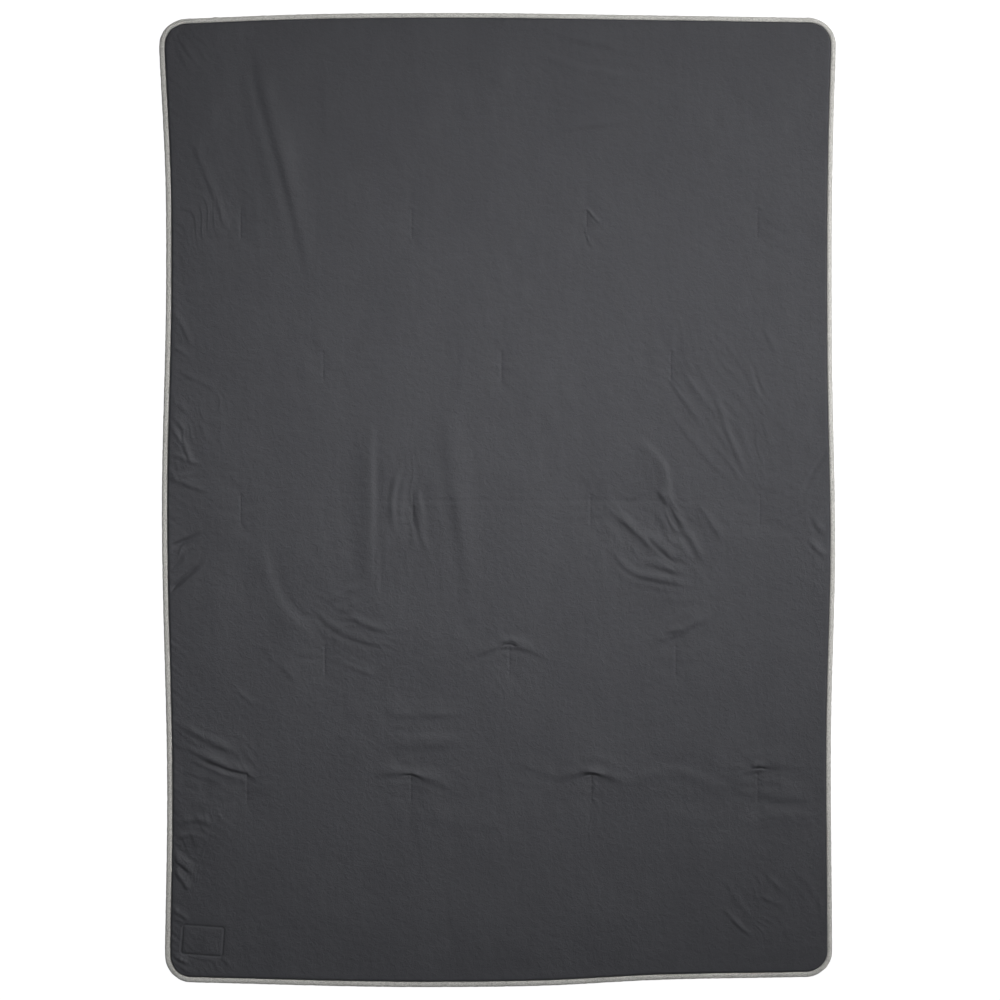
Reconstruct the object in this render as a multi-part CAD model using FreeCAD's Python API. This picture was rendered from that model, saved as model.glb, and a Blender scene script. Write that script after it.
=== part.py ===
"""Camp quilt lying flat: two fabric covers, batting, a piped edge, tie tacks and a sewn-through patch.

Millimetres. +X runs across the quilt, +Y towards its head end, +Z up.
The origin is the centre of the underside, on the surface that the quilt lies on.
"""

import FreeCAD
import Part
import math
import os

from FreeCAD import Vector

# ---- overall size -------------------------------------------------------------------------------
WIDTH = 1270.0
LENGTH = 1829.0
CORNER_RADIUS = 52.0
MIN_CORNER_RADIUS = 24.0
TOP_HEIGHT = 14.0

# ---- fabric and piping --------------------------------------------------------------------------
COVER_THICKNESS = 1.0
PIPING_DIAMETER = 9.5
PIPING_WALL = 1.0
CORD_CLEARANCE = 0.2
FLANGE_THICKNESS = 1.4
SEAM_INSET = 9.5
SEAM_ALLOWANCE = 12.0
FOLD_THICKNESS = 1.2
FLANGE_OVERLAP = 0.6

# ---- padding ------------------------------------------------------------------------------------
BATTING_GAP = 0.3
BATTING_TRIM = 3.7

# ---- how the covers swell away from the seam: distance in from the seam, share of the full rise --
TOP_SWELL = [(0.0, 0.0), (4.5, 0.29), (14.5, 0.58), (30.5, 0.83), (50.5, 0.97), (70.5, 1.0)]
BOTTOM_SWELL = [(0.0, 0.0), (4.0, 0.6), (18.5, 1.0)]

# ---- tie tacks: short sewn bars in staggered rows, each row's Y with the X of its tacks -----------
TACK_ROWS = [
    (521.0, (-486.0, -163.0, 168.0, 491.0)),
    (252.0, (-330.0, 7.0, 327.0)),
    (-19.0, (-486.0, -160.0, 175.0, 495.0)),
    (-303.0, (-327.0, 22.0, 336.0)),
    (-543.0, (-474.0, -164.0, 177.0, 491.0)),
]
TACK_LENGTH = 55.0
TACK_WIDTH = 2.0
TACK_THREAD_HEIGHT = 0.8
TACK_WEB_WIDTH = 0.8
TACK_HOLE_WIDTH = 1.2
TACK_END_MARGIN = 1.0
TACK_TOP = 7.0
TACK_BOTTOM = 2.5
TACK_DIP_TOP = [(1.5, 7.0), (5.0, 8.8), (12.0, 11.0), (24.0, 13.0), (42.0, 14.3)]
TACK_DIP_BOTTOM = [(1.5, 2.5), (8.0, 1.5), (24.0, 0.4), (36.0, -0.2)]

# ---- patch on the underside, sewn through to the top ---------------------------------------------
PATCH_CENTRE = (-557.5, -833.0)
PATCH_TILT = -4.0
PATCH_STITCH_SIZE = (78.0, 55.0)
PATCH_STITCH_RADIUS = 5.0
PATCH_MARGIN = 3.0
PATCH_THICKNESS = 1.2
PATCH_THREAD = 0.6
PATCH_THREAD_HALF_WIDTH = 0.6
PATCH_RECESS_CLEARANCE = 2.0
PATCH_RECESS_SLOPE = 10.0
PATCH_GROOVE_BOTTOM = 9.5
PATCH_GROOVE_HALF_WIDTHS = (1.5, 7.0)
PATCH_GROOVE_INNER_RADII = (4.0, 3.0)
PATCH_LEGS_PER_SIDE = (5, 4)
PATCH_LEG_RADIUS = 0.5
PATCH_HOLE_RADIUS = 0.8

# ---- seam threads ---------------------------------------------------------------------------------
SEAM_THREAD_WIDTH = 1.0
SEAM_THREAD_HEIGHT = 0.6
SEAM_THREAD_INSET = 13.2

# ---- worked out from the sizes above --------------------------------------------------------------
HALF_WIDTH = WIDTH / 2
HALF_LENGTH = LENGTH / 2
PIPING_RADIUS = PIPING_DIAMETER / 2
SEAM_Z = PIPING_RADIUS
FLANGE_TOP = SEAM_Z + FLANGE_THICKNESS / 2
FLANGE_BOTTOM = SEAM_Z - FLANGE_THICKNESS / 2
TOP_FOLD = FLANGE_TOP + COVER_THICKNESS
BOTTOM_FOLD = FLANGE_BOTTOM - COVER_THICKNESS
TOP_EDGE = TOP_FOLD + COVER_THICKNESS
BOTTOM_EDGE = BOTTOM_FOLD - COVER_THICKNESS
ALLOWANCE_INSET = SEAM_INSET + SEAM_ALLOWANCE
BATTING_INSET = ALLOWANCE_INSET + BATTING_TRIM
PATCH_BOTTOM = PATCH_THREAD
PATCH_TOP = PATCH_BOTTOM + PATCH_THICKNESS
OVERSHOOT = 0.3
HOLE_OVERRUN = 1.0
FUNNEL_SIDE_CLEARANCE = 0.6


def rounded_rectangle(half_x, half_y, radius, z):
    """A closed wire of four lines and four tangent arcs, centred on the Z axis."""
    edges = []
    flat_x = half_x - radius
    flat_y = half_y - radius
    diagonal = radius * math.sqrt(0.5)
    corners = [(1, 1), (-1, 1), (-1, -1), (1, -1)]
    for index, (sx, sy) in enumerate(corners):
        on_side = Vector(sx * half_x, sy * flat_y, z)
        on_end = Vector(sx * flat_x, sy * half_y, z)
        middle = Vector(sx * (flat_x + diagonal), sy * (flat_y + diagonal), z)
        first, last = (on_side, on_end) if sx == sy else (on_end, on_side)
        edges.append(Part.Arc(first, middle, last).toShape())
        nx, ny = corners[(index + 1) % 4]
        next_side = Vector(nx * half_x, ny * flat_y, z)
        next_end = Vector(nx * flat_x, ny * half_y, z)
        following = next_side if nx == ny else next_end
        edges.append(Part.LineSegment(last, following).toShape())
    return Part.Wire(edges)


def edge_ring(inset, z):
    """The quilt's outline moved in by the inset."""
    radius = max(CORNER_RADIUS - inset, MIN_CORNER_RADIUS)
    return rounded_rectangle(HALF_WIDTH - inset, HALF_LENGTH - inset, radius, z)


def loft(wires):
    return Part.makeLoft(wires, True, True)


def ring_loft(levels):
    return loft([edge_ring(inset, z) for inset, z in levels])


def prism(wire, z_top):
    """The space above a flat wire, up to z_top."""
    return Part.Face(wire).extrude(Vector(0, 0, z_top - wire.BoundBox.ZMin))


def stadium(radius, half_run, z):
    """A slot outline along Y: two runs joined by half circles."""
    right = Vector(radius, half_run, z)
    left = Vector(-radius, half_run, z)
    low_left = Vector(-radius, -half_run, z)
    low_right = Vector(radius, -half_run, z)
    edges = [
        Part.Arc(right, Vector(0, half_run + radius, z), left).toShape(),
        Part.LineSegment(left, low_left).toShape(),
        Part.Arc(low_left, Vector(0, -half_run - radius, z), low_right).toShape(),
        Part.LineSegment(low_right, right).toShape(),
    ]
    return Part.Wire(edges)


def on_each_tack(shape):
    """Copies of a shape made at the origin, one at every tack."""
    copies = []
    for y, columns in TACK_ROWS:
        for x in columns:
            copy = shape.copy()
            copy.translate(Vector(x, y, 0))
            copies.append(copy)
    return copies


def place_on_patch(shape):
    """Moves a shape made around the Z axis to the patch, with the patch's tilt."""
    shape.rotate(Vector(0, 0, 0), Vector(0, 0, 1), PATCH_TILT)
    shape.translate(Vector(PATCH_CENTRE[0], PATCH_CENTRE[1], 0))
    return shape


def swell_levels(swell, edge_z, full_z, inward=0.0, shift=0.0):
    """Insets and heights of a cover's surface from its seam to its flat middle."""
    return [(SEAM_INSET + inward + run, edge_z + (full_z - edge_z) * share + shift) for run, share in swell]


def tack_dips(profile, shift, widen):
    """The hollows that the tacks pull into a surface. A shift moves them down or up with the fabric."""
    half_run = (TACK_LENGTH - TACK_WIDTH) / 2
    dip = loft([stadium(radius + widen, half_run, z + shift) for radius, z in profile])
    return on_each_tack(dip)


def patch_rectangle(grow, z):
    half_x = PATCH_STITCH_SIZE[0] / 2 + grow
    half_y = PATCH_STITCH_SIZE[1] / 2 + grow
    return rounded_rectangle(half_x, half_y, PATCH_STITCH_RADIUS + grow, z)


def patch_groove(shift, widen):
    """The furrow that the patch's stitching presses into the top, widening upwards."""
    low = PATCH_GROOVE_BOTTOM + shift
    high = TOP_HEIGHT + OVERSHOOT + shift
    narrow, wide = [half_width + widen for half_width in PATCH_GROOVE_HALF_WIDTHS]
    outside = loft([patch_rectangle(narrow, low), patch_rectangle(wide, high)])
    inner = []
    for width, radius, z in zip((narrow, wide), PATCH_GROOVE_INNER_RADII, (low, high)):
        half_x = PATCH_STITCH_SIZE[0] / 2 - width
        half_y = PATCH_STITCH_SIZE[1] / 2 - width
        inner.append(rounded_rectangle(half_x, half_y, radius, z))
    return place_on_patch(outside.cut(loft(inner)))


def patch_recess(shift):
    """The shallow rise in the underside that the patch sits in."""
    reach = PATCH_MARGIN + PATCH_RECESS_CLEARANCE
    wires = [
        patch_rectangle(reach, PATCH_TOP + shift),
        patch_rectangle(reach + PATCH_RECESS_SLOPE, -OVERSHOOT + shift),
    ]
    return place_on_patch(loft(wires))


def patch_leg_places():
    """Points along the patch's stitched rectangle where thread passes through the quilt."""
    half_x = PATCH_STITCH_SIZE[0] / 2
    half_y = PATCH_STITCH_SIZE[1] / 2
    across, along = PATCH_LEGS_PER_SIDE
    places = []
    for index in range(across):
        x = half_x * (2 * (index + 0.5) / across - 1)
        places += [(x, half_y), (x, -half_y)]
    for index in range(along):
        y = half_y * (2 * (index + 0.5) / along - 1)
        places += [(half_x, y), (-half_x, y)]
    return places


def patch_pins(radius, low, high):
    pins = []
    for x, y in patch_leg_places():
        pin = Part.makeCylinder(radius, high - low, Vector(x, y, low))
        pins.append(place_on_patch(pin))
    return pins


def tack_slots(low, high):
    """The lines of needle holes under the tacks, through one layer."""
    half_run = (TACK_LENGTH - TACK_WIDTH) / 2
    slot = prism(stadium(TACK_HOLE_WIDTH / 2, half_run - TACK_END_MARGIN, low), high)
    return on_each_tack(slot)


def swept_ring(section):
    """Carries a section round the quilt's outline.

    The section lies in the XZ plane with X measured outwards from the centre of a corner.
    """
    flat_x = HALF_WIDTH - CORNER_RADIUS
    flat_y = HALF_LENGTH - CORNER_RADIUS
    corners = [(flat_x, flat_y), (-flat_x, flat_y), (-flat_x, -flat_y), (flat_x, -flat_y)]
    runs = [2 * flat_x, 2 * flat_y, 2 * flat_x, 2 * flat_y]
    up = Vector(0, 0, 1)
    pieces = []
    for index, (x, y) in enumerate(corners):
        centre = Vector(x, y, 0)
        start = section.copy()
        start.rotate(Vector(0, 0, 0), up, 90 * index)
        start.translate(centre)
        pieces.append(start.revolve(centre, up, 90))
        end = section.copy()
        end.rotate(Vector(0, 0, 0), up, 90 * (index + 1))
        end.translate(centre)
        heading = math.radians(90 * (index + 2))
        travel = Vector(round(math.cos(heading)), round(math.sin(heading)), 0)
        pieces.append(end.extrude(travel * runs[index]))
    return pieces[0].multiFuse(pieces[1:]).removeSplitter()


def section_box(inset_from, inset_to, z_from, z_to):
    """A rectangle in the sweep's section, given by insets and heights."""
    outer = CORNER_RADIUS - inset_from
    inner = CORNER_RADIUS - inset_to
    places = [(inner, z_from), (outer, z_from), (outer, z_to), (inner, z_to), (inner, z_from)]
    return Part.Face(Part.makePolygon([Vector(x, 0, z) for x, z in places]))


def section_disc(radius):
    centre = Vector(CORNER_RADIUS - PIPING_RADIUS, 0, SEAM_Z)
    circle = Part.makeCircle(radius, centre, Vector(0, -1, 0))
    return Part.Face(Part.Wire(circle))


def make_top_cover():
    """The upper cover: swollen from the seam, dipped at every tack, its allowance folded in under it."""
    levels = [(SEAM_INSET, FLANGE_TOP)] + swell_levels(TOP_SWELL, TOP_EDGE, TOP_HEIGHT)
    outside = ring_loft(levels)
    outside = outside.cut(tack_dips(TACK_DIP_TOP, 0.0, 0.0) + [patch_groove(0.0, 0.0)])
    inner_levels = swell_levels(TOP_SWELL, TOP_EDGE, TOP_HEIGHT, FOLD_THICKNESS, -COVER_THICKNESS)
    hollow = ring_loft(inner_levels)
    window = prism(edge_ring(ALLOWANCE_INSET, FLANGE_TOP - HOLE_OVERRUN), TOP_FOLD + OVERSHOOT)
    hollow = hollow.fuse(window)
    lower_dips = tack_dips(TACK_DIP_TOP, -COVER_THICKNESS, FUNNEL_SIDE_CLEARANCE)
    hollow = hollow.cut(lower_dips + [patch_groove(-COVER_THICKNESS, FUNNEL_SIDE_CLEARANCE)])
    cover = outside.cut(hollow)
    holes = tack_slots(TACK_TOP - COVER_THICKNESS - HOLE_OVERRUN, TACK_TOP + HOLE_OVERRUN)
    hole_start = PATCH_GROOVE_BOTTOM - COVER_THICKNESS - HOLE_OVERRUN
    holes += patch_pins(PATCH_HOLE_RADIUS, hole_start, PATCH_GROOVE_BOTTOM + HOLE_OVERRUN)
    return cover.cut(holes)


def make_bottom_cover():
    """The lower cover: flat on the surface below, lifted at the seam, the tacks and the patch."""
    levels = [(SEAM_INSET, FLANGE_BOTTOM)] + swell_levels(BOTTOM_SWELL, BOTTOM_EDGE, 0.0)
    outside = ring_loft(levels)
    outside = outside.cut(tack_dips(TACK_DIP_BOTTOM, 0.0, 0.0) + [patch_recess(0.0)])
    inner_levels = swell_levels(BOTTOM_SWELL, BOTTOM_EDGE, 0.0, FOLD_THICKNESS, COVER_THICKNESS)
    hollow = ring_loft(inner_levels)
    window = prism(edge_ring(ALLOWANCE_INSET, BOTTOM_FOLD - OVERSHOOT), FLANGE_BOTTOM + HOLE_OVERRUN)
    hollow = hollow.fuse(window)
    upper_dips = tack_dips(TACK_DIP_BOTTOM, COVER_THICKNESS, FUNNEL_SIDE_CLEARANCE)
    hollow = hollow.cut(upper_dips + [patch_recess(COVER_THICKNESS)])
    cover = outside.cut(hollow)
    holes = tack_slots(TACK_BOTTOM - HOLE_OVERRUN, TACK_BOTTOM + COVER_THICKNESS + HOLE_OVERRUN)
    holes += patch_pins(PATCH_HOLE_RADIUS, 0.0, PATCH_TOP + COVER_THICKNESS + HOLE_OVERRUN)
    return cover.cut(holes)


def make_batting():
    """The wadding: fills the covers, trimmed inside the seam allowances, pressed thin at every tack."""
    below = -COVER_THICKNESS - BATTING_GAP
    above = COVER_THICKNESS + BATTING_GAP
    top = swell_levels(TOP_SWELL, TOP_EDGE, TOP_HEIGHT, FOLD_THICKNESS, below)
    bottom = swell_levels(BOTTOM_SWELL, BOTTOM_EDGE, 0.0, FOLD_THICKNESS, above)
    floor_level = bottom[-1]
    side_low = (BATTING_INSET, floor_level[1] + BATTING_GAP)
    levels = [floor_level, side_low] + [level for level in top if level[0] >= BATTING_INSET]
    body = ring_loft(levels)
    side = FUNNEL_SIDE_CLEARANCE + BATTING_GAP
    dips = tack_dips(TACK_DIP_TOP, below, side) + tack_dips(TACK_DIP_BOTTOM, above, side)
    body = body.cut(dips + [patch_groove(below, side), patch_recess(above)])
    holes = tack_slots(0.0, TACK_TOP) + patch_pins(PATCH_HOLE_RADIUS, 0.0, TOP_HEIGHT)
    return body.cut(holes)


def make_piping_cover():
    """The piping strip: wrapped round its cord, its two edges laid together as a flange in the seam."""
    tube = section_disc(PIPING_RADIUS)
    flange = section_box(SEAM_INSET - FLANGE_OVERLAP, ALLOWANCE_INSET, FLANGE_BOTTOM, FLANGE_TOP)
    strip = tube.fuse(flange).removeSplitter()
    strip = strip.cut(section_disc(PIPING_RADIUS - PIPING_WALL))
    return swept_ring(strip.Faces[0])


def make_piping_cord():
    return swept_ring(section_disc(PIPING_RADIUS - PIPING_WALL - CORD_CLEARANCE))


def make_seam_thread(z_from, z_to):
    return swept_ring(section_box(SEAM_THREAD_INSET, SEAM_THREAD_INSET + SEAM_THREAD_WIDTH, z_from, z_to))


def make_tack():
    """One tie tack: needle thread above and bobbin thread below, locked together in the batting."""
    half_run = (TACK_LENGTH - TACK_WIDTH) / 2
    lock = (TACK_TOP + TACK_BOTTOM) / 2
    web_run = half_run - TACK_END_MARGIN
    bar = prism(stadium(TACK_WIDTH / 2, half_run, TACK_TOP), TACK_TOP + TACK_THREAD_HEIGHT)
    web = prism(stadium(TACK_WEB_WIDTH / 2, web_run, lock), TACK_TOP)
    needle = bar.fuse(web).removeSplitter()
    bar = prism(stadium(TACK_WIDTH / 2, half_run, TACK_BOTTOM - TACK_THREAD_HEIGHT), TACK_BOTTOM)
    web = prism(stadium(TACK_WEB_WIDTH / 2, web_run, TACK_BOTTOM), lock)
    bobbin = bar.fuse(web).removeSplitter()
    return Part.Compound([needle, bobbin])


def make_patch():
    """The fabric patch under the foot corner, with needle holes for its stitching."""
    patch = place_on_patch(prism(patch_rectangle(PATCH_MARGIN, PATCH_BOTTOM), PATCH_TOP))
    return patch.cut(patch_pins(PATCH_HOLE_RADIUS, 0.0, PATCH_TOP + HOLE_OVERRUN))


def make_patch_stitching():
    """The thread that holds the patch: a line above, a line below, and the legs between them."""
    top = PATCH_GROOVE_BOTTOM + PATCH_THREAD
    rings = []
    for low, high in ((0.0, PATCH_BOTTOM), (PATCH_GROOVE_BOTTOM, top)):
        ring = prism(patch_rectangle(PATCH_THREAD_HALF_WIDTH, low), high)
        ring = ring.cut(prism(patch_rectangle(-PATCH_THREAD_HALF_WIDTH, low), high))
        rings.append(place_on_patch(ring))
    legs = patch_pins(PATCH_LEG_RADIUS, 0.0, top)
    return rings[0].multiFuse(rings[1:] + legs).removeSplitter()


def export(name, shape):
    shape.exportStep("parts/" + name + ".step")
    box = shape.optimalBoundingBox(False)
    print(
        f"{name}: {len(shape.Solids)} solid(s), valid {shape.isValid()}, {shape.Volume:.0f} mm3, "
        f"{box.XLength:.1f} x {box.YLength:.1f} x {box.ZLength:.2f}, z {box.ZMin:.2f} to {box.ZMax:.2f}"
    )


def main():
    os.makedirs("parts", exist_ok=True)
    export("top_cover", make_top_cover())
    export("bottom_cover", make_bottom_cover())
    export("batting", make_batting())
    export("piping_cover", make_piping_cover())
    export("piping_cord", make_piping_cord())
    export("seam_needle_thread", make_seam_thread(TOP_FOLD, TOP_FOLD + SEAM_THREAD_HEIGHT))
    export("seam_bobbin_thread", make_seam_thread(BOTTOM_FOLD - SEAM_THREAD_HEIGHT, BOTTOM_FOLD))
    for row, (y, columns) in enumerate(TACK_ROWS, 1):
        for column, x in enumerate(columns, 1):
            tack = make_tack()
            tack.translate(Vector(x, y, 0))
            export(f"tack_row{row}_{column}", tack)
    export("patch", make_patch())
    export("patch_stitching", make_patch_stitching())


main()
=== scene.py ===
"""The looks of the camp quilt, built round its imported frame. Metres, +X across, +Y to the head end, +Z up."""
import math

import bpy
import numpy as np
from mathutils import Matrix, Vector
from mathutils.bvhtree import BVHTree


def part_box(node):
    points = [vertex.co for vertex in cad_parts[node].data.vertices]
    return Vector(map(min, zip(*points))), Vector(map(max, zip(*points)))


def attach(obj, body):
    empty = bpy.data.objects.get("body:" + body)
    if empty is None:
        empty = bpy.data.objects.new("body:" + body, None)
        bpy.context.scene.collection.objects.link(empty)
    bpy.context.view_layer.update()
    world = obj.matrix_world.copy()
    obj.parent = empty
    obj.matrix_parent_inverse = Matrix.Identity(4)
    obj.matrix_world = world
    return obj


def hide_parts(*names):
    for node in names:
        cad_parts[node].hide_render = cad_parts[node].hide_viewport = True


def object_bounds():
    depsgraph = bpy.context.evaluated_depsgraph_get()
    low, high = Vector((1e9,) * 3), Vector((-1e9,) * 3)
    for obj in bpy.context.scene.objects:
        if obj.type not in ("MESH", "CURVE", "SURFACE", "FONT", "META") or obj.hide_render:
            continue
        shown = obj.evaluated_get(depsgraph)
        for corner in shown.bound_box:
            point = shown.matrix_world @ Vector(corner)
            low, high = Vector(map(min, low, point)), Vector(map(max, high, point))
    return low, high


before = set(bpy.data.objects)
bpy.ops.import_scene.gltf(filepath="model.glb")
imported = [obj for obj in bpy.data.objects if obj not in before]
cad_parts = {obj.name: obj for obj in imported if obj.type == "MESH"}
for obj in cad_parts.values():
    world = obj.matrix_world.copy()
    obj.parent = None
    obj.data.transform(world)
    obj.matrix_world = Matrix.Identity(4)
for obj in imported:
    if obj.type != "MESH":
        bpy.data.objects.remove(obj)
cad_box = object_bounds()

MM = 0.001
TURN = 2 * math.pi

# ---- sizes read from the frame ----
HALF_X = cad_box[1].x
HALF_Y = cad_box[1].y
COVER_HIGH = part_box("top_cover")[1]
SEAM_BACK = 0.5 * MM  # the cover's seam lies this much further in than in the CAD
SEAM_X = COVER_HIGH.x - SEAM_BACK
SEAM_Y = COVER_HIGH.y - SEAM_BACK
SEAM_INSET = HALF_X - SEAM_X
TOP_Z = COVER_HIGH.z
PIPING_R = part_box("piping_cover")[1].z / 2
CORD_LOW, CORD_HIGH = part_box("piping_cord")
CORD_R = (CORD_HIGH.z - CORD_LOW.z) / 2
PATCH_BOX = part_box("patch")
PATCH_X = (PATCH_BOX[0].x + PATCH_BOX[1].x) / 2
PATCH_Y = (PATCH_BOX[0].y + PATCH_BOX[1].y) / 2
TACKS = {name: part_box(name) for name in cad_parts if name.startswith("tack_")}

# ---- sizes that the frame doesn't give ----
CORNER_R = 52 * MM
SEAM_R = CORNER_R - SEAM_INSET
SEAM_ASIDE = 0.7 * MM  # and the cover lies this far to the right and the head, so more piping shows opposite
COVER_THICKNESS = 1.0 * MM
ALLOWANCE = 12 * MM
DITCH_Z = 7.0 * MM  # how high the face is where it meets the piping
EDGE_RISE = 0.84  # the share of the face's rise that comes right at the seam
EDGE_RISE_REACH = 1.0 * MM
SWELL_REACH = 90 * MM
GROOVE_DEPTH = 0.8 * MM  # at a tack, with a broad hollow round it
HOLLOW_DEPTH = 0.5 * MM
GATHER_HEIGHT = 0.4 * MM
FURROW_DEPTH = 1.8 * MM  # at the patch's stitches, with a broad hollow round it
FURROW_HOLLOW = 0.8 * MM
PUCKER_HEIGHT = 0.5 * MM
BUMP_HEIGHTS = (0.75 * MM, 0.34 * MM, 0.09 * MM)  # broad, middling and fine
UNDER_DRAW = 2.3 * MM  # how far each tack draws up the underside
UNDER_PATCH = 1.9 * MM
UNDER_RIPPLE = 0.5 * MM
UNDER_EDGE = 3.3 * MM  # how high the underside is where it meets the piping
STITCH_LOCK_Z = 5 * MM  # how far down the needle thread goes at a hole
THREAD_APART = 0.9 * MM  # the bobbin thread comes up to this far under it
STITCH_PROUD = 0.144 * MM  # how far the middle of a stitch stands out
THREAD_ABOVE = 0.1 * MM  # a needle thread's middle line over the face
FLANGE_HALF = 0.4 * MM  # half the thickness of the strip's two edges inside the seam
LAYER_GAP = 0.3 * MM
BATTING_TRIM = 5.0 * MM
SEAM_THREAD_INSET = 13.2 * MM
SEAM_THREAD_APART = 0.85 * MM  # each seam thread's height over or under the middle of the piping
THREAD_R = 0.45 * MM
TACK_PITCH = 3.6 * MM
PATCH_PITCH = 2.8 * MM
PATCH_LOW = 0.5 * MM  # the patch's lower face above the floor
PIPING_SIDES = 30
PIPING_STEP = 2.6 * MM
UNDERSIDE_EDGE_STEP = 1.5 * MM
JOIN_AT = (-533 * MM, 910 * MM)  # where the piping's ends overlap
PATCH_TILT = math.radians(-4)
PATCH_STITCHED = (78 * MM, 55 * MM)
PATCH_STITCH_R = 5 * MM
PATCH_MARGIN = 3 * MM
PATCH_HALF = tuple(size / 2 + PATCH_MARGIN for size in PATCH_STITCHED)
PATCH_R = 6 * MM
PATCH_THICKNESS = 1.1 * MM
FLOOR_Z = -0.4 * MM
FLOOR_HALF = 12.0
FOLD_STRENGTH = 1.7  # on all the folds' heights
FOLD_RUN_OUT = 0.36  # the share of a fold's length over which each of its ends dies away
FOLD_UNEVEN = 0.22
FOLD_LEAN = 0.3
LEAN_FROM = 2.4  # the steepness from which a fold leans over
LIGHT_SLANT = 0.45  # X over Y of the direction that folds take the light to come from
WRINKLE_STRENGTH = 2.2

# ---- mesh and simulation ----
FACE_STEP = 4.0 * MM
UNDER_STEP = 9.0 * MM
LINE_GRAIN = 0.2 * MM  # how finely the spacing of grid lines is worked out
LINE_GROWTH = 0.2  # how much the spacing may grow for each step away
INNER_SKIP = 3  # the face's outer layer has this many grid lines to each of its inner layer
PUFF_STEP = 10 * MM
PUFF_SLACK = 0.006  # how much larger the cloth is than the shape it starts in
PUFF_FRAMES = 20
PUFF_CAP = 4 * MM  # no point of the puffed cloth moves further than this along an axis
PUFF_SHARE = 0.35  # how much of the puff is kept
PUFF_EDGE = 110 * MM  # how far in from the seam it is kept in full
PUFF_SETTINGS = {
    "vertex_group_mass": "held",
    "quality": 6,
    "mass": 0.1,
    "tension_stiffness": 20,
    "compression_stiffness": 20,
    "shear_stiffness": 10,
    "bending_stiffness": 0.4,
    "air_damping": 3,
    "use_pressure": True,
    "uniform_pressure_force": 2.0,
    "shrink_min": -PUFF_SLACK,
    "shrink_max": -PUFF_SLACK,
}

# ---- view and light ----
QUILT_SHARE = 0.671  # of the picture's width
CAMERA_ASIDE = 4.7 * MM
WORLD_TINT = (0.97, 0.98, 1.0, 1)
WORLD_LIGHT = 0.216
BACKDROP = (0.98, 0.98, 0.98, 1)  # what the camera itself sees past the floor
KEY_WATTS = 9.9
FILL_WATTS = 7.4
KEY_AIM = (0.1, 0.15, 0)
KEY_FAR = 6.0
KEY_COMPASS = 31  # degrees from +X towards +Y
KEY_RISE = 38  # degrees above level
KEY_SIZE = 1.2
KEY_SPREAD = 34
FILL_OVER = (0.14, 0.2)
FILL_HIGH = 1.5
FILL_SIZE = (1.4, 0.3)
FILL_SPREAD = 180
LENS = 200
SENSOR = 36
FLOOR_PAINT = 0.25
FLOOR_GLOW = 0.97

# ---- how far each side leaves the even outline: (place as a share of the half side, outwards in mm) ----
STRAY_LEFT = [(-0.92, -6), (-0.65, -10), (0, 0), (0.45, -8), (0.65, -7), (0.93, 5)]
STRAY_RIGHT = [(-0.9, -2), (-0.48, -4), (-0.1, 4), (0.3, -2), (0.75, 0), (0.93, 5)]
STRAY_TOP = [(-0.92, -4), (-0.6, 4), (-0.15, 7), (0.5, 2), (0.9, -2)]
STRAY_BOTTOM = [(-0.92, -2), (-0.2, 7), (0.15, 4), (0.45, -6), (0.9, -12)]
STRAY_REACH = 0.12  # how far in from the outline the straying dies away


def smooth(t):
    """0 below 0, 1 above 1, and level at both."""
    t = np.clip(t, 0.0, 1.0)
    return t * t * (3 - 2 * t)


def through(points, places):
    """A smooth curve through (place, value) points, read at the given places."""
    at = np.array([p[0] for p in points], float)
    value = np.array([p[1] for p in points], float)
    slope = np.gradient(value, at)
    places = np.clip(places, at[0], at[-1])
    i = np.clip(np.searchsorted(at, places, side="right") - 1, 0, len(at) - 2)
    span = at[i + 1] - at[i]
    t = (places - at[i]) / span
    start = (1 + 2 * t) * (1 - t) ** 2 * value[i] + t * (1 - t) ** 2 * span * slope[i]
    return start + t * t * (3 - 2 * t) * value[i + 1] + t * t * (t - 1) * span * slope[i + 1]


def stray(x, y):
    """Moves plan points from the even outline to the quilt's own edge. The middle stays where it is."""
    left, right, top, bottom = [
        through(side, share) * MM
        for side, share in (
            (STRAY_LEFT, y / HALF_Y),
            (STRAY_RIGHT, y / HALF_Y),
            (STRAY_TOP, x / HALF_X),
            (STRAY_BOTTOM, x / HALF_X),
        )
    ]
    near_right = smooth(1 - (HALF_X - x) / STRAY_REACH)
    near_left = smooth(1 - (HALF_X + x) / STRAY_REACH)
    near_top = smooth(1 - (HALF_Y - y) / STRAY_REACH)
    near_bottom = smooth(1 - (HALF_Y + y) / STRAY_REACH)
    return x + near_right * right - near_left * left, y + near_top * top - near_bottom * bottom


def waves(seed, count, longest, shortest):
    """A repeatable sum of sines over the plan, from about -1 to 1, with wavelengths between the two."""
    rng = np.random.default_rng(seed)
    lengths = np.exp(rng.uniform(math.log(shortest), math.log(longest), count))
    headings = rng.uniform(0, math.pi, count)
    phases = rng.uniform(0, TURN, count)

    def value(x, y):
        total = np.zeros_like(x)
        for length, heading, phase in zip(lengths, headings, phases):
            along = x * math.cos(heading) + y * math.sin(heading)
            total += np.sin(TURN * along / length + phase)
        return total / math.sqrt(count)

    return value


# ---- Mesh helpers ----
def new_mesh(name, points, faces, shade_smooth=True):
    mesh = bpy.data.meshes.new(name)
    mesh.from_pydata(np.asarray(points).tolist(), [], faces)
    mesh.validate()
    if shade_smooth:
        mesh.polygons.foreach_set("use_smooth", [True] * len(mesh.polygons))
    mesh.update()
    piece = bpy.data.objects.new(name, mesh)
    bpy.context.scene.collection.objects.link(piece)
    return piece


def grid_faces(columns, rows, start=0, flip=False):
    """Quads of a grid whose points run along Y first."""
    i = np.arange(columns - 1)[:, None] * rows + np.arange(rows - 1)[None, :] + start
    quads = np.stack([i, i + rows, i + rows + 1, i + 1], axis=-1).reshape(-1, 4)
    if flip:
        quads = quads[:, ::-1]
    return quads.tolist()


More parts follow.
